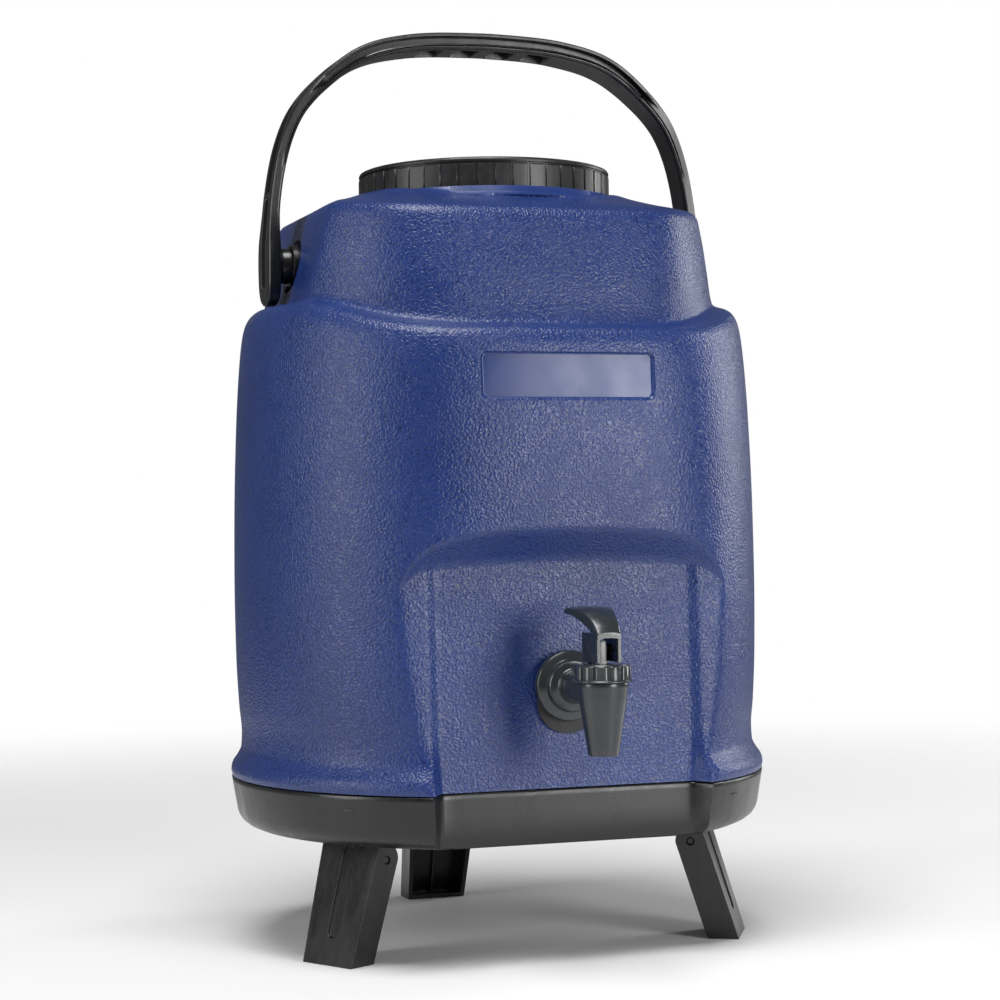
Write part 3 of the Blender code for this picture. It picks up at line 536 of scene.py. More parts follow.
@dataclass(frozen=True)
class DrawnSteel:
    """Plain steel with fine drawing lines."""
    name: str = "drawn_steel"
    colour: Point = (0.56, 0.56, 0.57)
    roughness: float = 0.27

    def make(self) -> bpy.types.Material:
        """Build the material."""
        sheet = Shading(self.name)
        lines = sheet.noise(700.0, 3.0, sheet.stretched((0.05, 1.0, 1.0)))
        dull = (*[c * 0.7 for c in self.colour], 1.0)
        tone = sheet.mix(sheet.band(lines, 0.2, 0.8), dull, (*self.colour, 1.0))
        rough = sheet.band(lines, 0.3, 0.7, self.roughness - 0.06, self.roughness + 0.1)
        drawn = sheet.bump(lines, 0.3, 0.00004)
        return sheet.close(Base_Color=tone, Roughness=rough, Normal=drawn, Metallic=1.0)


@dataclass(frozen=True)
class MouldedRubber:
    """Matte black rubber with a dusty bloom."""
    name: str = "black_rubber"
    colour: Point = (0.016, 0.016, 0.017)

    def make(self) -> bpy.types.Material:
        """Build the material."""
        sheet = Shading(self.name)
        bloom = sheet.band(sheet.noise(120.0, 4.0), 0.45, 0.75)
        tone = sheet.mix(sheet.sum(bloom, 0.5, "MULTIPLY"), (*self.colour, 1.0), (0.05, 0.05, 0.05, 1.0))
        rough = sheet.band(bloom, 0.0, 1.0, 0.62, 0.85)
        tooth = sheet.bump(sheet.noise(1300.0), 0.5, 0.00008)
        return sheet.close(Base_Color=tone, Roughness=rough, Normal=tooth)


@dataclass(frozen=True)
class RigidFoam:
    """Pale foam with open cells."""
    name: str = "rigid_foam"
    colour: Point = (0.74, 0.66, 0.42)

    def make(self) -> bpy.types.Material:
        """Build the material."""
        sheet = Shading(self.name)
        pores = sheet.band(sheet.cells(480.0), 0.15, 0.5)
        tone = sheet.mix(pores, (*[c * 0.6 for c in self.colour], 1.0), (*self.colour, 1.0))
        return sheet.close(Base_Color=tone, Roughness=sheet.band(pores, 0.0, 1.0, 0.95, 0.8),
                           Normal=sheet.bump(pores, 0.7, 0.0005))


@dataclass(frozen=True)
class Palette:
    """Every finish of the jug, built once."""
    shell: bpy.types.Material
    black: bpy.types.Material
    bail: bpy.types.Material
    cap: bpy.types.Material
    tap: bpy.types.Material
    liner: bpy.types.Material
    nylon: bpy.types.Material
    rubber: bpy.types.Material
    foam: bpy.types.Material
    steel: bpy.types.Material

    @classmethod
    def mix(cls) -> "Palette":
        """Build the finishes."""
        black, worn = (0.0055, 0.0058, 0.0068), (0.045, 0.047, 0.052)
        return cls(
            shell=PebbledShell().make(),
            black=MouldedPlastic("black_base_plastic", black, worn, 0.30).make(),
            bail=MouldedPlastic("black_bail_plastic", (0.0075, 0.0080, 0.0095), worn, 0.30, edge=0.5).make(),
            cap=MouldedPlastic("black_cap_plastic", (0.0110, 0.0110, 0.0115), worn, 0.38, tooth=700.0).make(),
            tap=MouldedPlastic("dark_grey_tap_plastic", (0.022, 0.027, 0.030), (0.10, 0.11, 0.11), 0.22,
                               coat=0.25, edge=0.4).make(),
            liner=MouldedPlastic("white_liner_plastic", (0.82, 0.82, 0.80), (0.9, 0.9, 0.88), 0.35,
                                 through=0.1).make(),
            nylon=MouldedPlastic("natural_nylon", (0.74, 0.75, 0.74), (0.88, 0.88, 0.86), 0.35,
                                 through=0.1).make(),
            rubber=MouldedRubber().make(), foam=RigidFoam().make(), steel=DrawnSteel().make())


def dress(obj: Mesh, material: bpy.types.Material) -> Mesh:
    """Give a piece its one finish."""
    obj.data.materials.clear()
    obj.data.materials.append(material)
    for face in obj.data.polygons:
        face.material_index = 0
    return obj


def deliver(obj: Mesh, body: Body | str, nodes: Sequence[str]) -> Mesh:
    """Hand a finished piece to the frame.

    Args:
        obj: The piece.
        body: The body that it rides on.
        nodes: CAD nodes that it stands for.

    Returns:
        The piece.
    """
    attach(obj, body.value if isinstance(body, Body) else body)
    if nodes:
        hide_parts(*nodes)
    LOG.info("%s: %d faces on %s", obj.name, len(obj.data.polygons), body)
    return obj


# ---------------------------------------------------------------- datum
@dataclass(frozen=True)
class Datum:
    """Axes and levels that the pieces share, read from the frame."""
    axis_y: float
    neck_y: float
    pivot_z: float
    parting_z: float
    base_z: float
    flange: float
    collar: float
    cap_foot: float
    cap_top: float
    cap_radius: float
    hub_x: float
    tap_y: float
    lever_pivot: Point

    @classmethod
    def read(cls) -> "Datum":
        """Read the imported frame."""
        joints = {joint["name"]: joint for joint in frame["record"]["behaviour"]["joints"]}
        pivot = joints["handle_swing"]["pos_m"]
        shell, cap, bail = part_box("body_shell"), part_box("screw_cap"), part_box("handle_bail")
        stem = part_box("tap_stem")
        hinge = joints["leg_3_fold"]["pos_m"]
        flange = shell[1].x
        return cls(axis_y=shell[1].y - flange, neck_y=pivot[1], pivot_z=pivot[2], parting_z=shell[0].z,
                   base_z=hinge[2] + 0.0092, flange=flange, collar=shell[1].z, cap_foot=cap[0].z,
                   cap_top=cap[1].z, cap_radius=cap[1].x, hub_x=bail[1].x - 0.0037,
                   tap_y=0.5 * (stem[0].y + stem[1].y), lever_pivot=tuple(joints["tap_press"]["pos_m"]))


# ---------------------------------------------------------------- shell
@dataclass
class Shell:
    """Blue outer skin: drum with the tap recess, shoulder, pivot pockets, label field and collar."""
    datum: Datum
    front_flat: float = 0.1288
    panel_depth: float = 0.1170
    panel_lean: float = 0.036
    panel_half: float = 0.0705
    crest_half: float = 0.0755
    wing_depth: float = 0.1180
    wing_flare: float = 0.45
    wing_lean: float = 0.042
    flare_top: float = 0.1165
    recess_top: float = 0.2262
    label_half: tuple[float, float] = (0.0478, 0.0119)
    label_z: float = 0.3071
    label_sink: float = 0.0016
    pocket_radius: float = 0.0146
    pocket_floor: float = 0.1050
    bore: float = 0.0730
    neck_bore: float = 0.0640
    wall: float = 0.0026

    # Each row: height at the sides, height at the front, radius, front flat, side flat, centre set back.
    # A flat of 1 is no flat.  The last entry is how many rings the stretch up to the next row gets.
    def rows(self) -> list[tuple[float, ...]]:
        """Control rows of the outer surface, from the parting line to the collar."""
        back, flat = self.datum.neck_y - self.datum.axis_y, self.front_flat
        return [
            (0.0925, 0.0925, 0.1496, 0.165, 0.160, 0, 3),
            (0.0955, 0.0955, 0.1501, 0.165, 0.160, 0, 3),
            (0.0985, 0.0985, 0.1495, 0.160, 0.160, 0, 4),
            (0.1030, 0.1030, 0.1466, 0.1466, 0.160, 0, 4),
            (0.1080, 0.1080, 0.1444, 0.1400, 0.160, 0, 6),
            (0.1165, 0.1165, 0.1440, 0.1330, 0.160, 0, 4),
            (0.1300, 0.1300, 0.1452, 0.1296, 0.160, 0, 5),
            (0.1600, 0.1600, 0.1466, flat, 0.160, 0, 5),
            (0.1950, 0.1950, 0.1470, flat, 0.160, 0, 42),
            (0.2350, 0.2350, 0.1466, flat, 0.160, 0, 7),
            (0.2850, 0.2800, 0.1450, 0.1281, 0.160, 0, 28),
            (0.3200, 0.3110, 0.1428, 0.1272, 0.158, 0, 24),
            (0.3370, 0.3235, 0.1408, 0.1262, 0.155, 0, 5),
            (0.3430, 0.3285, 0.1392, 0.1247, 0.150, 0, 5),
            (0.3475, 0.3318, 0.1365, 0.1222, 0.142, 0, 4),
            (0.3502, 0.3335, 0.1330, 0.1186, 0.134, 0.002, 3),
            (0.3512, 0.3345, 0.1310, 0.1120, 0.1230, 0.006, 3),
            (0.3525, 0.3360, 0.1294, 0.1075, 0.1190, 0.008, 4),
            (0.3560, 0.3400, 0.1286, 0.1056, 0.1178, back, 18),
            (0.3760, 0.3640, 0.1262, 0.1005, 0.1130, back, 18),
            (0.3940, 0.3870, 0.1236, 0.0950, 0.1092, back, 5),
            (0.4005, 0.3945, 0.1222, 0.0928, 0.1074, back, 5),
            (0.4040, 0.3985, 0.1190, 0.0900, 0.1050, back, 4),
            (0.4058, 0.4004, 0.1140, 0.0865, 0.1015, back, 5),
            (0.4094, 0.4040, 0.0980, 0.0800, 0.0950, back, 5),
            (0.4130, 0.4074, 0.0845, 0.0736, 0.090, back, 3),
            (0.4150, 0.4100, 0.0785, 0.110, 0.088, back, 2),
            (0.4156, 0.4108, 0.0760, 0.120, 0.086, back, 0),
        ]

    def fine_rows(self) -> Array:
        """The control rows refined along a smooth curve."""
        control = np.array(self.rows())
        values, counts = control[:, :6], control[:-1, 6].astype(int)
        drift = np.diff(values[:, 2]) + 0.5 * np.diff(np.minimum(values[:, 3], 0.15))
        gaps = np.hypot(np.diff(values[:, 0]), drift)
        knots = np.concatenate([[0.0], np.cumsum(np.maximum(gaps, 0.0008))])
        zones = [(knots[k], knots[k + 1], int(n)) for k, n in enumerate(counts)]
        return smooth_curve(knots, values, spread(zones))

    def columns(self) -> Array:
        """Angles round the body from the front, dense where edges run up it."""
        half = spread([(0.0, 19.0, 12), (19.0, 22.4, 22), (22.4, 29.8, 7), (29.8, 33.4, 30), (33.4, 42.0, 22),
                       (42.0, 80.0, 24), (80.0, 84.0, 4), (84.0, 106.0, 50), (106.0, 180.0, 25)])
        return np.radians(np.concatenate([-half[:0:-1], half[:-1]]))

    def arch(self, across: Array) -> Array:
        """How far the top edge of the recess falls away from its middle."""
        across = np.minimum(np.abs(across), 0.100)
        return 0.0028 * (across / 0.07) ** 2 + 0.016 * (np.maximum(across - 0.070, 0.0) / 0.028) ** 2

    def plan(self, theta: Array, rows: Array, inset: float = 0.0) -> tuple[Array, Array]:
        """Radius and height of the body without its recess, for every row and column."""
        z_side, z_front, radius, front, side, centre = (rows[:, k, None] for k in range(6))
        s, c = np.cos(theta)[None, :], np.abs(np.sin(theta))[None, :]
        radius, front, side = radius - inset, front - inset, side - inset
        z = z_side + (z_front - z_side) * smoothstep((s - 0.35) / 0.58)
        circle = np.sqrt(radius**2 - (centre * c) ** 2) - centre * s
        power = 22.0 - 2.0 * smoothstep(centre / 0.006)
        flat = front / np.maximum(s, 0.02)
        r = (circle**-power + flat**-power) ** (-1.0 / power)
        return soft_min(r, side / np.maximum(c, 1e-3), 0.0014), z

    def recess(self, theta: Array, z: Array, inset: float = 0.0) -> Array:
        """Radius at which a ray meets the recess: leaning panel, slanted walls, wings and ceiling."""
        s, c = np.cos(theta)[None, :], np.abs(np.sin(theta))[None, :]
        panel = self.panel_depth - self.panel_lean * (z - self.datum.parting_z) - inset
        wing = self.wing_depth + self.wing_flare * soft_ramp(self.flare_top - z, 0.004) - inset
        wing = wing - self.wing_lean * soft_ramp(z - 0.125, 0.006)
        half, crest = self.panel_half + inset, self.crest_half + inset
        slope = (wing - panel) / (crest - half)
        top = self.recess_top + 1.2 * inset - self.arch(self.wing_depth * c / np.maximum(s, 0.3))
        ceiling = 0.1275 + (z - top) / 0.95
        found = np.full(z.shape, 1.0)
        done = np.zeros(z.shape, dtype=bool)
        before = None
        for r in np.arange(0.100, 0.1585, 0.0006):
            wall = panel + slope * (soft_ramp(r * c - half, 0.0012) - soft_ramp(r * c - crest, 0.0012))
            gap = r * s - soft_max(wall, ceiling, 0.0030)
            if before is not None:
                crossed = (gap > 0.0) & (before <= 0.0) & ~done
                share = -before / np.where(crossed, gap - before, 1.0)
                found = np.where(crossed, r - 0.0006 + 0.0006 * share, found)
                done |= crossed
            before = gap
        return np.where(s > 0.5, found, 1.0)

    def rings(self, theta: Array, rows: Array, inset: float = 0.0) -> tuple[Array, Array]:
        """Radius and height of the body with its recess cut."""
        r, z = self.plan(theta, rows, inset)
        s, c = np.cos(theta)[None, :], np.abs(np.sin(theta))[None, :]
        side_z = rows[:, 0, None]
        fade = smoothstep((0.26 - side_z) / 0.03) * smoothstep((side_z - 0.19) / 0.018)
        z = z - fade * smoothstep((s - 0.5) / 0.2) * self.arch(self.wing_depth * c / np.maximum(s, 0.3))
        return soft_min(r, self.recess(theta, z, inset), 0.0022), z

    def label(self, theta: Array, r: Array, z: Array) -> Array:
        """Share of the sunk label field at each point, 0 outside to 1 on its floor."""
        x = r * np.sin(theta)[None, :]
        over_x = np.abs(x) - self.label_half[0] + 0.003
        over_z = np.abs(z - self.label_z) - self.label_half[1] + 0.003
        outside = np.hypot(np.maximum(over_x, 0.0), np.maximum(over_z, 0.0))
        distance = outside + np.minimum(np.maximum(over_x, over_z), 0.0) - 0.003
        return np.where(np.cos(theta)[None, :] > 0.5, smoothstep(0.5 - distance / 0.0011), 0.0)

    def pivot_distance(self, theta: Array, r: Array, z: Array) -> tuple[Array, Array]:
        """Distance of each side point from the pivot axis, and its offset along Y."""
        along = -r * np.cos(theta)[None, :] - (self.datum.neck_y - self.datum.axis_y)
        return np.hypot(along, z - self.datum.pivot_z), along

    def circle(self, theta: Array, radius: float, z: float) -> Array:
        """A ring about the neck's axis, seen from the same columns."""
        back = self.datum.neck_y - self.datum.axis_y
        r = np.sqrt(radius**2 - (back * np.sin(theta)) ** 2) - back * np.cos(theta)
        return self.points(theta, r[None, :], np.full((1, len(theta)), z))

    def points(self, theta: Array, r: Array, z: Array) -> Array:
        """World points of rings."""
        return np.stack([r * np.sin(theta), self.datum.axis_y - r * np.cos(theta), z], axis=-1)

    def build(self, material: bpy.types.Material) -> Mesh:
        """Build the skin with its grain and scuff values."""
        theta = self.columns()
        rows = self.fine_rows()
        r, z = self.rings(theta, rows)
        s, c = np.cos(theta)[None, :], np.abs(np.sin(theta))[None, :]
        label = self.label(theta, r, z)
        r = r - self.label_sink * label / np.maximum(s, 0.5)
        distance, along = self.pivot_distance(theta, r, z)
        beside = c > 0.8
        floor = self.pocket_floor / np.maximum(c, 0.5)
        pocket = np.where(beside, smoothstep((self.pocket_radius - distance) / 0.0013), 0.0)
        near = (np.abs(along) < 0.012) & (distance > 0.0140) & (distance < 0.034)
        scuff = np.where(beside & near, 1.0, 0.0)
        scuff = scuff * smoothstep((np.abs(z - self.datum.pivot_z) - 0.0105) / 0.004)
        r = np.where(pocket > 0.0, r + pocket * np.minimum(floor - r, 0.0), r)
        grain = (1.0 - label) * (1.0 - pocket) * smoothstep((0.4110 - z) / 0.004)
        outer = self.points(theta, r, z)
        lip = [self.circle(theta, radius, level) for radius, level in (
            (self.bore + 0.0018, 0.4140), (self.bore + 0.0006, 0.4136), (self.bore, 0.4124),
            (self.bore, 0.4088), (self.neck_bore, 0.4088), (self.neck_bore, 0.4042), (0.0800, 0.4042))]
        levels = (0.4040, 0.3940, 0.3760, 0.3560, 0.3512, 0.3475, 0.3370, 0.2850, 0.2400, 0.2310, 0.2250,
                  0.2170, 0.2080, 0.1950, 0.1600, 0.1300, 0.1220, 0.1165, 0.1120, 0.1080, 0.1050, 0.1020,
                  0.0985, 0.0925)
        coarse = rows[[int(np.argmin(np.abs(rows[:, 0] - level))) for level in levels]]
        coarse[:, :2] -= 0.0026 * smoothstep((coarse[:, :2] - 0.335) / 0.012)
        coarse[-1, :2] = self.datum.parting_z
        coarse[:, 4] = np.where(coarse[:, 0] > 0.345, 0.1042, coarse[:, 4])
        inner = self.points(theta, *self.rings(theta, coarse, self.wall))
        obj = skin("shell_skin", np.concatenate([outer, *lip, inner]), loop=True, crease=48.0)
        self.store(obj, np.stack([grain, scuff]), outer)
        return dress(obj, material)

    def store(self, obj: Mesh, values: Array, outer: Array) -> None:
        """Keep grain and scuff values as point attributes, matched by place."""
        known = kdtree.KDTree(outer.shape[0] * outer.shape[1])
        for k, point in enumerate(outer.reshape(-1, 3)):
            known.insert(point, k)
        known.balance()
        index = [near if gap < 2e-5 else -1 for _, near, gap in (known.find(v.co) for v in obj.data.vertices)]
        for name, field in zip(("grain", "scuff"), values):
            flat_field = np.append(field.reshape(-1), 0.0)
            layer = obj.data.attributes.new(name, "FLOAT", "POINT")
            layer.data.foreach_set("value", flat_field[index].astype(np.float32))


# ---------------------------------------------------------------- base and legs
@dataclass
class Base:
    """Black base tray with its chamfer, front notch, catch windows and hinge lugs."""
    datum: Datum
    notch_half: float = 0.0716
    notch_corner: float = 0.0757
    notch_depth: float = 0.1175
    nose: float = 0.1288
    lug_gap: float = 0.0115
    hinge_r: float = 0.1120

    def ring(self, theta: Array, z: float, radius: float, inset: float, fillet: float) -> Array:
        """A ring of the tray, round with the notch in front."""
        s, c = np.cos(theta), np.abs(np.sin(theta))
        half, corner, depth = self.notch_half + inset, self.notch_corner + inset, self.notch_depth - inset
        slope = (self.nose - depth) / (corner - half)
        before = None
        found = np.full(theta.shape, 1.0)
        for reach in np.arange(0.100, 0.1585, 0.0005):
            across = reach * c
            wall = depth + slope * (soft_ramp(across - half, fillet) - soft_ramp(across - corner, fillet))
            gap = reach * s - wall - 1.2 * np.maximum(across - corner, 0.0)
            if before is not None:
                crossed = (gap > 0.0) & (before <= 0.0) & (found > 0.9)
                share = -before / np.where(crossed, gap - before, 1.0)
                found = np.where(crossed, reach - 0.0005 + 0.0005 * share, found)
            before = gap
        notch = np.where((s > 0.5) & (c * radius < corner + 0.004), found, 1.0)
        r = soft_min(np.full(theta.shape, radius), notch, 0.0018)
        level = np.full(theta.shape, z)
        return np.stack([r * np.sin(theta), self.datum.axis_y - r * np.cos(theta), level], axis=-1)

    def tray(self) -> Mesh:
        """The dish itself."""
        half = spread([(0.0, 28.0, 14), (28.0, 36.0, 48), (36.0, 180.0, 72)])
        theta = np.radians(np.concatenate([-half[:0:-1], half[:-1]]))
        low, top = self.datum.base_z, self.datum.parting_z - 0.0005
        flange = self.datum.flange - 0.0001
        outside = [(low, flange - 0.0210, 0.0040), (low + 0.0002, flange - 0.0170, 0.0036),
                   (low + 0.0010, flange - 0.0124, 0.0026), (low + 0.0026, flange - 0.0086, 0.0016),
                   (low + 0.0048, flange - 0.0058, 0.0008), (low + 0.0074, flange - 0.0041, 0.0003),
                   (low + 0.0102, flange - 0.0032, 0.0), (0.0800, flange - 0.0021, 0.0),
                   (0.0890, flange - 0.0006, 0.0), (top - 0.0008, flange - 0.0003, 0.0),
                   (top - 0.0002, flange - 0.0007, 0.0004),
                   (top, flange - 0.0014, 0.0010)]
        inside = [(top, flange - 0.0028, 0.0030), (0.0740, flange - 0.0074, 0.0030),
                  (0.0662, flange - 0.0210, 0.0050)]
        rings = [self.ring(theta, z, radius, inset, 0.0020) for z, radius, inset in outside + inside]
        return skin("tray", np.stack(rings), crease=44.0)

    def lug(self, across: float) -> Mesh:
        """One rounded hinge lug, drawn toward the front."""
        top = self.datum.base_z + 0.0014 - 0.0540
        outline = [(across - 0.0015, -self.hinge_r + 0.0060, 0.0540 + top),
                   (across - 0.0015, -self.hinge_r - 0.0016, 0.0540 + top)]
        for k in range(17):
            a = math.pi + math.pi * k / 16
            outline.append((across - 0.0015, -self.hinge_r + 0.0047 * math.cos(a),
                            0.0540 + 0.0047 * math.sin(a)))
        shape = prism("lug", outline, (0.0030, 0.0, 0.0))
        shape.data.transform(Matrix.Translation((0.0, self.datum.axis_y, 0.0)))
        return soften(shape, 0.0004)

    def catches(self, tree: bpy.types.NodeTree, material: bpy.types.Material) -> Mesh:
        """Small catch windows under the parting line, evenly round the band."""
        frame_z, reach = 0.0872, 0.1493
        parts = []
        wide = 0.0028
        for low, high in ((-0.0034, -0.0027), (0.0021, 0.0028)):
            outline = [(-wide, -reach + 0.0016, frame_z + low), (wide, -reach + 0.0016, frame_z + low),
                       (wide, -reach + 0.0016, frame_z + high), (-wide, -reach + 0.0016, frame_z + high)]
            parts.append(prism("bar", outline, (0.0, -0.0013, 0.0)))
        pad = [(-0.0022, -reach + 0.0016, frame_z - 0.0022), (0.0022, -reach + 0.0016, frame_z - 0.0022),
               (0.0022, -reach + 0.0016, frame_z + 0.0018), (-0.0022, -reach + 0.0016, frame_z + 0.0018)]
        parts.append(prism("pad", pad, (0.0, -0.0010, 0.0)))
        window = gather("catch", parts)
        return grow("catch_ring", tree, {"Part": window, "Count": 4, "Centre": (0.0, self.datum.axis_y, 0.0),
                                         "Start": math.radians(40.0), "Finish": material})

    def build(self, tree: bpy.types.NodeTree, material: bpy.types.Material) -> Mesh:
        """Build the whole base."""
        parts = [self.tray(), self.catches(tree, material)]
        centre = (0.0, self.datum.axis_y, 0.0)
        for angle in (-60.0, 60.0, 180.0):
            for side in (-1, 1):
                parts.append(turn_about(self.lug(side * self.lug_gap), angle, centre))
        return dress(gather("base_skin", parts), material)


@dataclass
class Leg:
    """One folding U-channel leg with a sunk slot, a cross rib and a foot plate."""
    datum: Datum
    index: int
    angle: float
    width: float = 0.0358
    flare: float = 0.15
    splay: float = math.radians(17.5)
    hinge_r: float = 0.1120
    hinge_z: float = 0.0540
    out: float = 0.0088
    inward: float = 0.0085
    wall: float = 0.0026

    def half(self, up: float) -> float:
        """Half width at a height above the hinge."""
        return 0.5 * self.width * (1.0 + self.flare * (up + self.hinge_z) / self.hinge_z)

    def body(self) -> Mesh:
        """The outer block with its rounded hinge end."""
        tan = math.tan(self.splay)
        top, foot = self.datum.base_z - self.hinge_z - 0.0007, -self.hinge_z
        outline = [(self.out - tan * top, top), (self.out - tan * foot, foot),
                   (-self.inward - tan * foot, foot)]
        for k in range(10):
            a = math.radians(185.0 - 9.4 * k)
            outline.append((0.0083 * math.cos(a), 0.0083 * math.sin(a)))
        low = [(-self.half(up), -o, up) for o, up in outline]
        high = [(self.half(up), -o, up) for o, up in outline]
        return skin("leg", np.stack([np.array(low), np.array(high)]))

    def channel(self) -> Mesh:
        """Cutter for the hollow inner side."""
        tan, low, high = math.tan(self.splay), -self.hinge_z + self.wall, 0.03
        corners = [(self.out - self.wall - tan * high, high), (self.out - self.wall - tan * low, low),
                   (-0.05, low), (-0.05, high)]
        left = [(-self.half(up) + self.wall, -o, up) for o, up in corners]
        right = [(self.half(up) - self.wall, -o, up) for o, up in corners]
        return skin("channel", np.stack([np.array(left), np.array(right)]))

    def slot(self) -> Mesh:
        """Cutter for the long slot on the outer plate."""
        tan, half, low = math.tan(self.splay), 0.0046, -0.0355
        turns = np.linspace(math.pi, 2.0 * math.pi, 17)
        path = [(half * math.cos(a), low + half * math.sin(a)) for a in turns]
        path += [(half, 0.0060), (-half, 0.0060)]
        deep = [(x * 0.86, -(self.out - tan * up - 0.0011), up) for x, up in path]
        proud = [(x, -(self.out - tan * up + 0.0100), up) for x, up in path]
        return skin("slot", np.stack([np.array(deep), np.array(proud)]))

    def rib(self) -> Mesh:
        """The rib down the middle of the channel."""
        tan, low, high = math.tan(self.splay), -self.hinge_z + 0.0018, -0.0080
        edge = self.out - self.wall + 0.0008
        outline = [(-0.0006, -(edge - tan * high), high), (-0.0006, -(edge - tan * low), low),
                   (-0.0006, -(edge - 0.0046 - tan * low), low),
                   (-0.0006, -(edge - 0.0022 - tan * high), high)]
        return prism("rib", outline, (0.0012, 0.0, 0.0))

    def build(self, material: bpy.types.Material) -> Mesh:
        """Build the leg in its place."""
        leg = combine(self.body(), self.channel())
        combine(leg, self.slot())
        combine(leg, turned("bore", [(0.0022, -0.03), (0.0022, 0.03)], (0.0, 0.0, 0.0), "X", 24))
        soften(leg, 0.00055, 3, 24.0)
        leg = gather("leg_skin_%d" % self.index, [leg, self.rib()])
        a = math.radians(self.angle)
        leg.data.transform(Matrix.Translation((self.hinge_r * math.sin(a),
                                               self.datum.axis_y - self.hinge_r * math.cos(a), self.hinge_z))
                           @ Matrix.Rotation(a, 4, "Z"))
        return dress(leg, material)


# ---------------------------------------------------------------- cap
@dataclass
class Cap:
    """Screw cap: turned body with a ring of grip pads and a stepped top."""
    datum: Datum
    pads: int = 46
    pad_share: float = 0.87
    pad_low: float = 0.0008
    pad_high: float = 0.0036

    def body(self) -> Mesh:
        """The turned cap."""
        foot, top, r = self.datum.cap_foot, self.datum.cap_top, self.datum.cap_radius
        profile = [(0.0672, foot), (r - 0.0012, foot), (r - 0.0008, foot + 0.0004),
                   (r - 0.0008, top - 0.0035), (r - 0.0013, top - 0.0032), (r - 0.0013, top - 0.0028),
                   (r - 0.0004, top - 0.0025), (r - 0.0002, top - 0.0014), (r - 0.0007, top - 0.0005),
                   (r - 0.0020, top), (0.0562, top), (0.0550, top - 0.0004), (0.0545, top - 0.0012),
                   (0.0310, top - 0.0012), (0.0300, top - 0.0007), (0.0110, top - 0.0007),
                   (0.0100, top - 0.0012), (0.0010, top - 0.0012), (0.0010, top - 0.0030),
                   (0.0660, top - 0.0030), (0.0672, top - 0.0042)]
        centre = (0.0, self.datum.neck_y, 0.0)
        return turned("cap_body", profile, centre, "Z", 184, loop=True)

    def pad(self) -> Mesh:
        """One grip pad, drawn about the axis."""
        foot, top = self.datum.cap_foot + self.pad_low, self.datum.cap_top - self.pad_high
        r = self.datum.cap_radius
        half = math.pi / self.pads * self.pad_share
        rings = []
        for z, shrink in ((foot, 0.0005), (foot + 0.0004, 0.0), (top - 0.0005, 0.0), (top, 0.0006)):
            ring = [(r - 0.0016, -half), (r - 0.0016, half)]
            ring += [(r - 0.0005 - shrink, half), (r - 0.0001 - shrink, half * 0.92)]
            ring += [(r - 0.0001 - shrink, half * k) for k in (0.5, 0.0, -0.5)]
            ring += [(r - 0.0001 - shrink, -half * 0.92), (r - 0.0005 - shrink, -half)]
            rings.append([(q * math.cos(a), q * math.sin(a), z) for q, a in ring])
        return skin("pad", np.array(rings))

    def build(self, tree: bpy.types.NodeTree, material: bpy.types.Material) -> Mesh:
        """Build the cap."""
        pads = grow("pads", tree, {"Part": self.pad(), "Count": self.pads, "Start": 0.03, "Finish": material,
                                   "Centre": (0.0, self.datum.neck_y, 0.0)})
        return dress(gather("cap_skin", [self.body(), pads]), material)


